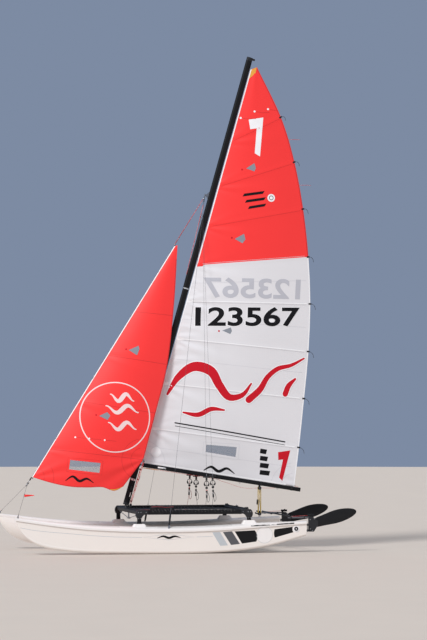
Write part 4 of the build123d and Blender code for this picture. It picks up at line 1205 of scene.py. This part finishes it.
def railLacing(side):
    # the cord goes up through an eyelet, over the rail and back, so it shows as short slanting runs outside
    turns = []
    step = railEyelets[1] - railEyelets[0]
    arc = np.radians([100, 70, 40, 12, -14, -30])
    railY, railZ = t["railMiddle"]
    across = railY + t["overRail"][0] * np.cos(arc)
    up = railZ + t["overRail"][1] * np.sin(arc)
    for s in railEyelets[:-1]:
        over = [at(s + step * 0.5 * k / 5, side * y, z) for k, (y, z) in enumerate(zip(across, up))]
        turns.append(tube([at(s, side * 0.992, top + 0.001), at(s, side * 1.010, top + 0.014)] + over,
                          t["cord"], 6))
    return turns


railLaces = bothSides("rail_lacing", railLacing, lacingCord, "platform")


def footStrap(side):
    # a padded strap that rises over its middle and is tied at both ends
    u = np.linspace(0, 1, 40)
    s = t["front"] + 0.05 + u * (t["back"] - t["front"] - 0.10)
    z = t["z"] + 0.004 + 0.035 * np.sin(np.pi * u) ** 0.8
    path = np.stack([bowX - s, np.full(40, side * t["strapSide"]), z], 1)
    pad = path[8:33] + shift(0, 0, 0.003)
    return [webbing(path, t["strapWidth"] * 0.6, 0.003, (0, 1, 0)),
            webbing(pad, t["strapWidth"], 0.009, (0, 1, 0))]


bothSides("foot_strap", footStrap, hemCloth, "platform")
print("trampoline done")

# gear bag: a slack tube of cloth that a cloth simulation fills, with piping and two straps sewn on after

bag = {"front": 2.486, "length": 0.418, "y": 0.240, "width": 0.172, "height": 0.082, "floor": 0.7066,
       "voxel": 0.007, "pressure": 3.0, "frames": 20, "cap": 0.012}


def filled(piece, facts):
    # remesh to even squares and let air pressure swell it as cloth
    # each point stays within the cap of its start and above the floor
    remesh = piece.modifiers.new("even", "REMESH")
    remesh.mode = "VOXEL"
    remesh.voxel_size = facts["voxel"]
    even = bpy.data.meshes.new_from_object(evaluated(piece))
    piece.modifiers.remove(remesh)
    piece.data = even
    start = np.array([v.co for v in even.vertices])
    swell = piece.modifiers.new("cloth", "CLOTH")
    swell.settings.use_pressure = True
    swell.settings.uniform_pressure_force = facts["pressure"]
    swell.settings.shrink_min = -0.05
    swell.settings.tension_stiffness = 20
    swell.settings.bending_stiffness = 1.5
    swell.settings.effector_weights.gravity = 0
    for number in range(1, facts["frames"] + 1):
        scene.frame_set(number)
    done = evaluated(piece).to_mesh()
    moved = np.array([v.co for v in done.vertices]) - start
    piece.modifiers.remove(swell)
    scene.frame_set(1)
    far = np.linalg.norm(moved, axis=1, keepdims=True)
    start = start + moved * np.minimum(1, facts["cap"] / np.maximum(far, 1e-9))
    start[:, 2] = np.maximum(start[:, 2], facts["floor"])
    even.vertices.foreach_set("co", start.ravel())
    even.polygons.foreach_set("use_smooth", [True] * len(even.polygons))
    even.materials.clear()
    even.materials.append(bagCloth)
    return piece


u = np.linspace(0, 1, 46)[:, None]
v = fullTurn(48)[None, :]
swellEnds = (1 - np.abs(2 * u - 1) ** 5) ** 0.35
ripple = 1 + 0.05 * np.sin(5 * np.pi * u + 0.6) * np.cos(v - 0.8) + 0.03 * np.sin(11 * np.pi * u) * np.sin(v)
across = np.sign(np.cos(v)) * np.abs(np.cos(v)) ** 0.75 * swellEnds * ripple
up = np.maximum(np.sign(np.sin(v)) * np.abs(np.sin(v)) ** 0.9 * swellEnds * ripple, -0.80)
bagPoints = np.stack([
    np.broadcast_to(bowX - bag["front"] - bag["length"] * u, across.shape),
    bag["y"] + bag["width"] / 2 * across,
    bag["floor"] + bag["height"] * (up + 0.80) / 1.84 * (0.93 + 0.07 * np.sin(2.2 * np.pi * u)),
], -1)
bagShape = (bagPoints.reshape(-1, 3), closedQuads(46, 48))
bagPiece = filled(newPiece("gear_bag_soft", bagShape, bagCloth, "platform"), bag)
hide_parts("gear_bag")
bagTree = treeOf(bagPiece)


def onBag(points, lift):
    # each point goes to the bag's surface nearest to it, and out from it by the lift
    spots = []
    for p in points:
        spot, normal = bagTree.find_nearest(Vector(p))[:2]
        spots.append(spot + normal * lift)
    return np.array(spots)


piping = [tube(onBag(bagPoints[2:-2, k], 0.002), 0.0032, 8) for k in (5, 19)]
newPiece("bag_piping", piping, bagPiping, "platform")
straps = [webbing(onBag(bagPoints[row][np.r_[46:48, 0:27]], 0.0025), 0.028, 0.003, (1, 0, 0))
          for row in (12, 33)]
newPiece("bag_straps", straps, hemCloth, "platform")
print("bag done")


# rigging

shrouds = {"station": 2.644, "side": 1.152, "z": 0.446, "topSide": 0.007, "pins": (0.029, 0.233),
           "cover": 0.131}


def shroudLow(side):
    return at(shrouds["station"], side * shrouds["side"], shrouds["z"])


trapeze = {
    # side, station and height of the handle, station where the cord meets the rail
    "wires": [(1, 3.331, 1.302, 3.300), (1, 3.437, 1.315, 3.420), (-1, 3.425, 1.282, 3.386),
              (-1, 3.540, 1.262, 3.570)],
    "side": 0.985, "wire": 0.0016, "handle": 0.060, "handleRadius": 0.014, "ring": 0.040,
    "ringThick": 0.0055, "ringDrop": 0.115, "shroudShare": 0.055,
    # how far down, how long and how thick each bead on the cord is
    "beads": [(0.035, 0.060, 0.017), (0.190, 0.034, 0.021), (0.255, 0.030, 0.016), (0.340, 0.050, 0.014)],
}


def trapezeWire(number, side, s, z, foot):
    # a wire from the shroud to a T handle, a ring and beads under it, and a cord on to the rail
    t = trapeze
    grip = at(s, side * t["side"], z)
    shroudFoot = shroudLow(side)
    start = hounds + (shroudFoot - hounds) * t["shroudShare"]
    down = unit(grip - start)
    ahead = unit(np.array([1.0, 0, 0]) - down * down[0])
    newPiece(f"trapeze_{number}_wire", line(start, grip, t["wire"], 8, 6), wireSteel, "platform")
    swage = [(0, 0.0022), (0.004, 0.0036), (0.05, 0.0036), (0.055, 0.002)]
    ends = [turned(swage, start + down * 0.02, down, 12), turned(swage, grip - down * 0.055, down, 12),
            ring(start, down, 0.008, 0.0025, 18, 6),
            ring(grip + down * 0.300, (0, 1, 0), 0.016, 0.004, 20, 6)]
    newPiece(f"trapeze_{number}_rings", ends, steel, "platform")
    middle = grip + down * t["ringDrop"]
    grips = [rod(grip - ahead * t["handle"], grip + ahead * t["handle"], t["handleRadius"]),
             ring(middle, (0, 1, 0), t["ring"], t["ringThick"], 30, 8)]
    grips += [rod(grip + down * (a - b / 2), grip + down * (a + b / 2), r) for a, b, r in t["beads"]]
    for turnBy in (1, -1):
        spot = middle + down * 0.022 + ahead * turnBy * (t["ring"] - 0.004)
        grips.append(rod(spot - down * 0.020 + ahead * turnBy * 0.006,
                         spot + down * 0.020 - ahead * turnBy * 0.010, 0.0135))
    newPiece(f"trapeze_{number}_grip", grips, blockPlastic, "platform", sharp=40)
    low = at(foot, side * 1.030, 0.752)
    loop = [(0.26, 0.0), (0.29, -0.026), (0.36, -0.046), (0.42, -0.040), (0.44, -0.022), (0.40, -0.012),
            (0.35, -0.002)]
    tail = curved([grip + down * a + ahead * b for a, b in loop], 28)
    cord = [line(grip, grip + down * 0.34, 0.0035, 8), line(grip + down * 0.34, low, 0.0028, 8, 4),
            tube(tail, 0.0034, 8, (0, 1, 0))]
    newPiece(f"trapeze_{number}_cord", cord, redRope if number == 2 else blackRope, "platform")
    if number in (0, 2):
        newPiece(f"trapeze_{number}_bead",
                 rod(grip + down * 0.225, grip + down * 0.245, 0.015, roundness=0.5), redRope, "platform")


for number, wire in enumerate(trapeze["wires"]):
    trapezeWire(number, *wire)
print("trapeze done")

# the jib's halyard, and shackles at both ends of its stay
jibHead = jibGrid[-1, 0]
newPiece("jib_halyard",
         line(jibHead + stayLine * 0.03 - stayBehind * 0.012, hounds - stayLine * 0.05, 0.005, 8), redRope,
         "platform")
shackles = [ring(jibHead + stayLine * 0.014, (0, 1, 0), 0.014, 0.004, 20, 8),
            rod(hounds - stayLine * 0.06, hounds - stayLine * 0.02, 0.007),
            rod(bridleApex + stayLine * 0.02, bridleApex + stayLine * 0.075, 0.007)]
newPiece("jib_shackles", shackles, steel, "platform")

# the stay's foot: a black turnbuckle body, its barrel and a short lashing to the jib's tack
tackPoint = jibGrid[0, 0]
stayFoot = [rod(bridleApex + stayLine * 0.078, bridleApex + stayLine * 0.135, 0.011, roundness=0.3),
            rod(bridleApex + stayLine * 0.012, bridleApex + stayLine * 0.03, 0.017, roundness=0.3)]
newPiece("stay_foot", stayFoot, blockPlastic, "platform", sharp=40)
lashing = []
for i in range(3):
    spot = tackPoint + stayBehind * (0.012 + 0.003 * i) - stayLine * 0.012
    lashing.append(ring(spot, stayLine + 0.3 * i * stayBehind, 0.016, 0.0028, 20, 6))
newPiece("jib_tack_lashing", lashing, blackRope, "platform")
# small hooks that hold the jib's luff to its stay
hanks = []
for u in np.linspace(0.06, 0.96, 9):
    spot = jibGrid[int(round(u * (jibGrid.shape[0] - 1))), 0]
    hanks.append(ring(spot - stayBehind * 0.002, stayLine, 0.0085, 0.0022, 16, 6))
newPiece("jib_hanks", hanks, whiteTape, "platform")

# pennant on the port bridle wire
tangLow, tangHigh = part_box("bow_tang_port")
bridleStart = np.array([(tangLow.x + tangHigh.x) / 2, (tangLow.y + tangHigh.y) / 2, tangHigh.z - 0.013])
along = unit(bridleApex - bridleStart)
pennantHeight, pennantHoist, pennantFly = 1.002, 0.045, 0.17
pennantTop = bridleStart + along * ((pennantHeight - bridleStart[2]) / along[2])
sideways = np.linspace(0, 1, 14)[:, None, None]
fall = np.linspace(0, 1, 4)[None, :, None]
flag = pennantTop + sideways * shift(-pennantFly, 0, -0.012)
flag = flag - fall * (1 - 0.75 * sideways) * shift(0, 0, pennantHoist)
flag[..., 1] += 0.008 * np.sin(sideways[..., 0] * 7)
pennant = newPiece("pennant", cloth(flag, 0.001), redCloth, "platform")
ties = [ring(pennantTop - along * down, along, 0.006, 0.002, 14, 6) for down in (0, 0.05)]
newPiece("pennant_tie", ties, blackRope, "platform")

# rings, terminals and pins where the stays end, and a cover on each adjuster
for side, tag in bothTags:
    flip = np.array([1, side, 1])
    lowEnd, highEnd = bridleStart * flip, bridleApex
    direction = unit(highEnd - lowEnd)
    shroudFoot = shroudLow(side)
    shroudTop = hounds + shift(0, side * shrouds["topSide"], 0)
    climb = unit(shroudTop - shroudFoot)
    swage = [(0, 0.0025), (0.01, 0.005), (0.06, 0.005), (0.07, 0.003)]
    fittings = [
        ring(lowEnd, (0, 0, 1), 0.010, 0.003, 18, 6),
        turned([(0, 0.003), (0.01, 0.005), (0.07, 0.005), (0.08, 0.0025)], lowEnd + direction * 0.02,
               direction, 12),
        turned(swage, highEnd - direction * 0.09, direction, 12),
        turned([(0, 0.004), (0.01, 0.0055), (0.07, 0.0055), (0.08, 0.0025)], shroudFoot + climb * 0.262,
               climb, 12),
        turned(swage, shroudTop - climb * 0.10, climb, 12),
    ]
    for h in shrouds["pins"]:
        pin = shroudFoot + climb * h
        fittings.append(rod(pin - shift(0, 0.009, 0), pin + shift(0, 0.009, 0), 0.0038, 14))
    newPiece(f"stay_fittings_{tag}", fittings, wireSteel, "platform", sharp=40)
    aside = unit(np.cross(climb, [0, 1, 0]))
    axes = np.stack([aside, np.cross(climb, aside), climb])
    newPiece(f"adjuster_cover_{tag}",
             box(shroudFoot + climb * shrouds["cover"], (0.033, 0.009, 0.170), axes, 0.003),
             casting, "platform", sharp=40)
print("stays done")

# mainsheet: a cleat on the lower block and a hook under it, pins through both blocks, and two crossing parts
upperLow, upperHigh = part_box("boom_block")
lowerLow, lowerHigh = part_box("sheet_block")
blockMiddle = np.array([(lowerLow.x + lowerHigh.x) / 2, 0, (lowerLow.z + lowerHigh.z) / 2])
upperMiddle = np.array([(upperLow.x + upperHigh.x) / 2, 0, upperLow.z + 0.031])
cleat = [box(blockMiddle + shift(0.048, 0, 0.006), (0.050, 0.030, 0.022), bevel=0.004),
         box(blockMiddle + shift(0.070, 0.012, 0.020), (0.020, 0.010, 0.014), bevel=0.003),
         box(blockMiddle + shift(0.070, -0.012, 0.020), (0.020, 0.010, 0.014), bevel=0.003),
         rod(blockMiddle + shift(0.034, 0, 0.16), blockMiddle + shift(0.030, 0, 0.25), 0.019, roundness=0.5)]
newPiece("sheet_cleat", cleat, blockPlastic, "boom", sharp=40)
hook = [ring(blockMiddle - shift(0, 0, 0.040), (0, 1, 0), 0.013, 0.004, 22, 8),
        rod(blockMiddle - shift(0, 0.014, 0.031), blockMiddle + shift(0, 0.014, -0.031), 0.004)]
newPiece("sheet_hook", hook, steel, "boom", sharp=40)
pinHeads = [rod(middle - shift(0, 0.029, 0), middle + shift(0, 0.029, 0), 0.007, 16)
            for middle in (blockMiddle, upperMiddle)]
newPiece("block_pins", pinHeads, steel, "boom", sharp=40)
crossings = []
for high, low in (((0.010, 0.02, -0.03), (-0.012, 0.025, 0.02)),
                  ((-0.012, -0.018, -0.03), (0.012, -0.022, 0.02))):
    crossings.append(line(upperMiddle + shift(*high), blockMiddle + shift(*low), 0.0042, 8))
newPiece("sheet_crossings", crossings, yellowRope, "boom")
print("mainsheet done")

# boom: webbing loops, bare label places, the outhaul and downhaul lines, the clew's shackle and eyes below

boom = {"straps": (4.504, 5.05), "width": 0.046, "height": 0.070, "label": (2.662, 2.804),
        "eyes": (3.733, 4.126, 4.80)}


def onBoom(station, up, y=0.0):
    # a point at a station, up from the boom's middle line
    reach = (station - (bowX - gooseneck[0])) / -boomAlong[0]
    return gooseneck + boomAlong * reach + boomUp * up + shift(0, y, 0)


def boomLoop(station, wide, thick=0.003):
    # a band round the boom, as a rounded oblong
    u = np.linspace(0, 2 * np.pi, 40)
    y = (boom["width"] / 2 + 0.002) * np.sign(np.cos(u)) * np.abs(np.cos(u)) ** 0.5
    z = (boom["height"] / 2 + 0.002) * np.sign(np.sin(u)) * np.abs(np.sin(u)) ** 0.5
    path = np.array([onBoom(station, b, a) for a, b in zip(y, z)])
    return webbing(path, wide, thick, boomAlong)


newPiece("boom_straps", [boomLoop(s, 0.034) for s in boom["straps"]], hemCloth, "boom")
for side, tag in bothTags:
    # each end's middle, between its lower and upper corner
    ends = [(onBoom(s, -0.013, side * 0.0235) + onBoom(s, 0.013, side * 0.0235)) / 2 for s in boom["label"]]
    newPiece(f"boom_label_{tag}", webbing(ends, 0.026, 0.0008, boomUp), whiteTape, "boom")
outhaul = [line(onBoom(5.088, 0.048), onBoom(5.17, 0.040), 0.003, 8),
           line(onBoom(2.46, -0.044, 0.008), onBoom(3.72, -0.042, 0.004), 0.0032, 8, 6)]
newPiece("outhaul_line", outhaul, redRope, "boom")
downhaul = [line(onBoom(2.372, -0.050, 0.010), onBoom(2.668, -0.047, 0.012), 0.0055, 10, 6),
            line(onBoom(2.372, -0.050, -0.006), onBoom(2.62, -0.047, -0.004), 0.0045, 10, 6)]
newPiece("downhaul_line", downhaul, orangeRope, "boom")
clewSet = [ring(mainGrid[0, -1] + boomUp * 0.010, (0, 1, 0), 0.016, 0.004, 22, 8),
           rod(onBoom(5.10, 0.030, -0.012), onBoom(5.10, 0.030, 0.012), 0.005)]
newPiece("clew_shackle", clewSet, steel, "boom", sharp=40)
boomEyes = [ring(onBoom(s, -0.040), (0, 1, 0), 0.012, 0.0035, 20, 8) for s in boom["eyes"]]
newPiece("boom_eyes", boomEyes, steel, "boom")

# the slack line below the boom: a free cord between two of its eyes
slackRoute = [(3.733, 1.235), (3.760, 1.205), (3.911, 1.165), (4.126, 1.085), (4.30, 1.066), (4.447, 1.078),
              (4.60, 1.072), (4.776, 1.075), (4.800, 1.090)]
slackLength = 1.092


def freeCord(name, points, diameter, length, finish, body, **facts):
    # a smooth open spline whose control points are the route
    curve = bpy.data.curves.new(name, "CURVE")
    curve.dimensions = "3D"
    curve.bevel_depth = diameter / 2
    curve.bevel_resolution = 3
    curve.resolution_u = 12
    curve.use_fill_caps = True
    spline = curve.splines.new("NURBS")
    spline.points.add(len(points) - 1)
    for point, spot in zip(spline.points, points):
        point.co = (*spot, 1)
    spline.order_u = 3
    spline.use_endpoint_u = True
    curve.materials.append(finish)
    piece = linked(name, curve)
    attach(piece, body)
    return piece


freeCord("slack_line", [at(s, 0.006, z) for s, z in slackRoute], 0.005, slackLength, redRope, "boom",
         far_end="object", stiffness="limp", lay="hanging")

# jib sheet: two parts from the clew to a block at the mast's foot, and its tail loose on the trampoline
jibSheet = {"block": (2.165, 0.085, 0.800), "stand": (2.165, 0.091), "standFrom": 0.747, "standTo": 0.775,
            "partRadius": 0.0045}
clew = jibGrid[jibSail["finer"], -1]
mastBlock = at(*jibSheet["block"])
sheetParts = []
for high, low in ((0.004, 0.006), (-0.014, -0.014)):
    sheetParts.append(line(clew + shift(high, 0, -0.03), mastBlock + shift(low, 0.006, 0.02),
                           jibSheet["partRadius"], 10, 8))
newPiece("jib_sheet_parts", sheetParts, redRope, "platform")
clewSet = [ring(clew + shift(0.004, 0.001, 0), (0, 1, 0), 0.014, 0.004, 22, 8),
           rod(clew + shift(-0.004, -0.012, -0.034), clew + shift(-0.004, 0.014, -0.034), 0.017,
               roundness=0.3)]
newPiece("jib_clew_block", clewSet, tubeAluminium, "platform", sharp=40)
footSet = [rod(mastBlock + shift(-0.004, -0.010, 0), mastBlock + shift(-0.004, 0.022, 0), 0.021,
               roundness=0.3),
           box(mastBlock + shift(-0.004, 0.006, -0.022), (0.034, 0.034, 0.012), bevel=0.003),
           rod(at(*jibSheet["stand"], jibSheet["standFrom"]), at(*jibSheet["stand"], jibSheet["standTo"]),
               0.012, roundness=0.3)]
newPiece("jib_foot_block", footSet, blockPlastic, "platform", sharp=40)
tailRoute = [(2.196, 0.100), (2.240, 0.135), (2.330, 0.150), (2.400, 0.090), (2.480, 0.070), (2.600, 0.110),
             (2.760, 0.085), (2.900, 0.120), (2.960, 0.200), (2.990, 0.320), (3.080, 0.345)]
tailHeight, tailLength = 0.7105, 1.075
tailStop = turned([(0, 0.004), (0.006, 0.010), (0.016, 0.011), (0.024, 0.005)], at(3.075, 0.344, 0.7165),
                  (-1, 0.2, 0), 14)
knot = newPiece("tail_knot", tailStop, redRope, "platform")
freeCord("jib_sheet_tail", [at(s, y, tailHeight) for s, y in tailRoute], 0.008, tailLength, redRope,
         "platform", far_end="knot", stiffness="limp", lay="loose", with_pieces=[knot])

# mast: downhaul tackle behind it and a cleat on each side
tackleTop, tackleLow = onMast(0.075, 0.66), onMast(0.070, 0.10)
parts = [line(tackleTop + shift(0, y, 0), tackleLow + shift(0, y * 1.3, 0), 0.0038, 8, 6)
         for y in (-0.010, 0.010)]
newPiece("downhaul_parts", parts, redRope, "mast")
whitePart = line(tackleTop + shift(0, 0.022, -0.12), tackleLow + shift(0.004, 0.030, 0.03), 0.004, 8, 6)
newPiece("downhaul_white", whitePart, whiteRope, "mast")
blocks = [rod(onMast(0.078, 0.66, -0.014), onMast(0.078, 0.66, 0.014), 0.018, roundness=0.3),
          rod(onMast(0.074, 0.09, -0.016), onMast(0.074, 0.09, 0.016), 0.016, roundness=0.3),
          rod(onMast(0.078, 0.48, -0.012), onMast(0.078, 0.48, 0.030), 0.013, roundness=0.3),
          box(onMast(0.010, 0.30, 0.034), (0.034, 0.012, 0.070), bevel=0.004),
          box(onMast(0.010, 0.30, -0.034), (0.034, 0.012, 0.070), bevel=0.004)]
newPiece("downhaul_blocks", blocks, blockPlastic, "mast", sharp=40)
# halyards: the fall in front of the mast, and thin strands down to the cleats
fallLow = onMast(-0.058, 4.15, 0.004)
newPiece("halyard_fall", line(onMast(-0.100, 5.40), fallLow, 0.005, 8, 6), redRope, "mast")
strands = [line(fallLow, onMast(0.010, 0.33, 0.0345), 0.0022, 8, 4),
           line(onMast(0.004, 7.9, -0.0325), onMast(0.010, 0.33, -0.0345), 0.0022, 8, 4)]
newPiece("halyard_on_mast", strands, blackRope, "mast")
# tape bands on the mast's sides
onMastSide = {"name": "mast", "tree": treeOf(nodes["mast"]), "body": "mast", "slot": "black_anodised"}
mastTapes = [(0.440, 0.475, softWhite), (2.28, 2.30, palePaint), (3.90, 3.92, palePaint)]
tapeFront, tapeBack = -0.050, 0.045
for low, high, ink in mastTapes:
    corners = [onMast(tapeFront, low), onMast(tapeBack, low), onMast(tapeBack, high),
               onMast(tapeFront, high)]
    draw(onMastSide, ink, [(bowX - c[0], c[2]) for c in corners], lift=0.0006, fine=0.012)
printMarks(onMastSide)
lineEnd = rod(onMast(0.020, 0.235, 0.036), onMast(0.018, 0.150, 0.037), 0.007, 14, 0.5)
newPiece("mast_line_end", lineEnd, whiteRope, "mast")
print("mast fittings done")

# sail ends: caps and cords on the battens at the leech, discs at the luff, and two streamers
sideways, hang = np.array([0, 1, 0]), np.array([0, 0, -1.0])
caps, cords, discs = [], [], []
for i in range(1, 9):
    row = mainGrid[int(round(i * mainSail["finer"]))]
    tip, direction = row[-1], unit(row[-1] - row[-6])
    axes = np.stack([direction, sideways, np.cross(direction, sideways)])
    caps.append(box(tip - direction * 0.006, (0.056, 0.014, 0.028), axes, 0.004))
    route = [tip + direction * a + hang * b
             for a, b in ((0.010, 0), (0.050, 0.010), (0.085, 0.045), (0.098, 0.100))]
    cords.append(tube(curved(route, 14), 0.0034, 6))
    discs.append(turned([(-0.007, 0.018), (-0.005, 0.023), (0.005, 0.023), (0.007, 0.018)],
                        row[0] + direction * 0.030 + shift(0, 0.001, 0), sideways, 24))
streamers = []
for knot in (6.5, 7.5):
    tip = mainGrid[int(round(knot * mainSail["finer"])), -1]
    route = [tip, tip + shift(-0.10, 0.004, 0.004), tip + shift(-0.21, -0.004, 0)]
    streamers.append(tube(curved(route, 12), 0.0034, 6))
newPiece("leech_streamers", streamers, redRope, "boom")
newPiece("batten_caps", caps, blockPlastic, "boom", sharp=40)
newPiece("batten_ties", cords, blackRope, "boom")
newPiece("batten_ends", discs, whiteTape, "boom", sharp=40)
print("sail ends done")


# small fittings on the frame and rudders

def bolt(centre, axis, size):
    # a domed head on a washer
    profile = size * np.array([(0, 1.5), (0.2, 1.5), (0.25, 1), (0.8, 0.9), (1, 0.4), (1.02, 0)])
    return turned(profile, centre, axis, 18)


cornerBolts = {"beams": (2.150, 4.065), "apart": 0.022, "high": (1.082, 0.706), "low": (1.0623, 0.600),
               "rail": (2.262, 3.953)}


def frameBolts(side):
    # two high and two low on each corner casting, and one where each end of the rail goes in
    c, bolts = cornerBolts, []
    (highY, highZ), (lowY, lowZ) = c["high"], c["low"]
    for s in c["beams"]:
        for ds in (-c["apart"], c["apart"]):
            bolts.append(bolt(at(s + ds, side * highY, highZ), (0, side, 0), 0.006))
            bolts.append(bolt(at(s + ds * 0.7, side * lowY, lowZ), (0, side, 0), 0.005))
    for s in c["rail"]:
        bolts.append(bolt(at(s, side * highY, highZ), (0, side, 0), 0.005))
    return bolts


bothSides("frame_bolts", frameBolts, steel, "platform", sharp=40)

rudderFittings = {
    "side": 1.060, "half": 0.023, "bolts": [(5.135, 0.40), (5.135, 0.56), (5.205, 0.575), (5.175, 0.37)],
    "catch": (5.150, 0.636), "knob": (5.16, 0.652), "clips": (4.80, 5.03), "tiller": 0.598,
    "line": [(4.80, 0.615), (5.12, 0.632)],
}
for side, tag in bothTags:
    f = rudderFittings
    y, head = side * f["side"], f"rudder_head_{tag}"
    bolts = [bolt(at(s, side * (f["side"] + f["half"]), z), (0, side, 0), 0.006) for s, z in f["bolts"]]
    bolts += [bolt(at(s, side * (f["side"] - f["half"]), z), (0, -side, 0), 0.006)
              for s, z in f["bolts"][:3]]
    newPiece(f"rudder_bolts_{tag}", bolts, steel, head, sharp=40)
    knobS, knobZ = f["knob"]
    catch = [box(at(f["catch"][0], y, f["catch"][1]), (0.110, 0.030, 0.035), bevel=0.006),
             rod(at(knobS, y - side * 0.014, knobZ), at(knobS, y + side * 0.014, knobZ), 0.012,
                 roundness=0.3)]
    newPiece(f"kick_up_catch_{tag}", catch, rudderPlastic, head, sharp=40)
    clips = [box(at(f["clips"][0], y, f["tiller"]), (0.030, 0.031, 0.031), bevel=0.003),
             box(at(f["clips"][1], y, f["tiller"]), (0.020, 0.029, 0.029), bevel=0.003)]
    newPiece(f"tiller_clips_{tag}", clips, blockPlastic, head, sharp=40)
    kickLine = line(*[at(s, y, z) for s, z in f["line"]], 0.003, 8)
    newPiece(f"kick_up_line_{tag}", kickLine, redRope, head)

bladeForm = {
    "pivot": (5.230, 0.505), "side": 1.060, "lift": 15, "heel": -0.072, "tip": 0.752, "half": 0.011,
    # at turns from heel to tip: half height over the sine of the turn, and the middle line
    "height": [(0, 0.150), (0.313, 0.146), (1.089, 0.105), (1.79, 0.116), (2.43, 0.116), (math.pi, 0.118)],
    "middle": [(0, -0.008), (1.089, 0.003), (1.79, 0.005), (2.43, 0.002), (math.pi, 0)],
}


def blade(side):
    # flat ovals from heel to tip whose height is a curve times a sine, with a thick middle and thin edges
    f = bladeForm
    turn = np.linspace(0.03, np.pi - 0.03, 56)
    along = f["heel"] + (f["tip"] - f["heel"]) * (1 - np.cos(turn)) / 2
    height = smoothCurve(*np.array(f["height"]).T, turn)[:, 0] * np.sin(turn)
    middle = smoothCurve(*np.array(f["middle"]).T, turn)[:, 0]
    around = fullTurn(36)[None, :]
    up = middle[:, None] + height[:, None] * np.cos(around)
    thick = f["half"] * np.minimum(1, 2.2 * np.sin(turn))[:, None] ** 0.5
    out = thick * np.sign(np.sin(around)) * np.abs(np.sin(around)) ** 0.8
    a = math.radians(f["lift"])
    s, z = f["pivot"]
    points = np.stack([bowX - s - along[:, None] * math.cos(a) + up * math.sin(a), side * f["side"] + out,
                       z + along[:, None] * math.sin(a) + up * math.cos(a)], -1)
    return points.reshape(-1, 3), closedQuads(56, 36)


for side, tag in bothTags:
    bladePiece = newPiece(f"blade_{tag}", blade(side), rudderPlastic, f"rudder_blade_{tag}",
                          sharp=50)
    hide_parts(f"rudder_blade_{tag}")

# grip on the tiller extension and caps on the crossbar
crossLow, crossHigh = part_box("tiller_crossbar")
extensionLow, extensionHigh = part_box("tiller_extension")
crossX, crossZ = (crossLow.x + crossHigh.x) / 2, (crossLow.z + crossHigh.z) / 2
extX = extensionHigh.x - 0.010
gripPath = np.array([[extX, y, crossZ] for y in np.linspace(extensionLow.y, extensionLow.y + 0.30, 90)])
ribs = 0.0145 + 0.0008 * np.sin(np.linspace(0, 60 * np.pi, 90))
newPiece("extension_grip", tube(gripPath, ribs, 20), casting, "tiller_crossbar")
capsOn = [rod([crossX, y, crossZ], [crossX, y + dy, crossZ], 0.0128, roundness=0.3)
          for y, dy in ((crossHigh.y - 0.004, 0.008), (crossLow.y + 0.004, -0.008))]
capsOn.append(rod([extX, extensionHigh.y - 0.02, crossZ], [extX, extensionHigh.y + 0.004, crossZ], 0.012))
newPiece("tube_caps", capsOn, casting, "tiller_crossbar", sharp=40)

# traveller: a stop and a cleat at each end of its track, its lines, and an eye on the car
traveller = {"station": 4.065, "stop": (0.735, 0.757), "cleat": (0.860, 0.756), "camHeight": 0.763}
s = traveller["station"]
stopY, stopZ = traveller["stop"]
cleatY, cleatZ = traveller["cleat"]
stops = [box(at(s, side * stopY, stopZ), (0.034, 0.030, 0.022), bevel=0.004) for side in (1, -1)]
for side in (1, -1):
    stops.append(box(at(s, side * cleatY, cleatZ), (0.052, 0.060, 0.018), bevel=0.004))
    for ds in (-0.013, 0.013):
        stops.append(turned([(0, 0.011), (0.012, 0.011), (0.016, 0.008), (0.016, 0)],
                            at(s + ds, side * cleatY, traveller["camHeight"]), (0, 0, 1), 18))
newPiece("track_stops", stops, blockPlastic, "platform", sharp=40)
carLines = [line(at(4.040, side * 0.72, 0.756), at(4.050, side * 0.03, 0.758), 0.003, 8) for side in (1, -1)]
newPiece("traveller_line", carLines, blackRope, "platform")
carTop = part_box("traveller_car")[1].z
carEye = [ring(at(s, 0, carTop + 0.010), (1, 0, 0), 0.012, 0.0035, 22, 8),
          rod(at(s, 0, carTop - 0.001), at(s, 0, carTop + 0.003), 0.010)]
newPiece("car_eye", carEye, steel, "platform", sharp=40)
print("fittings done")
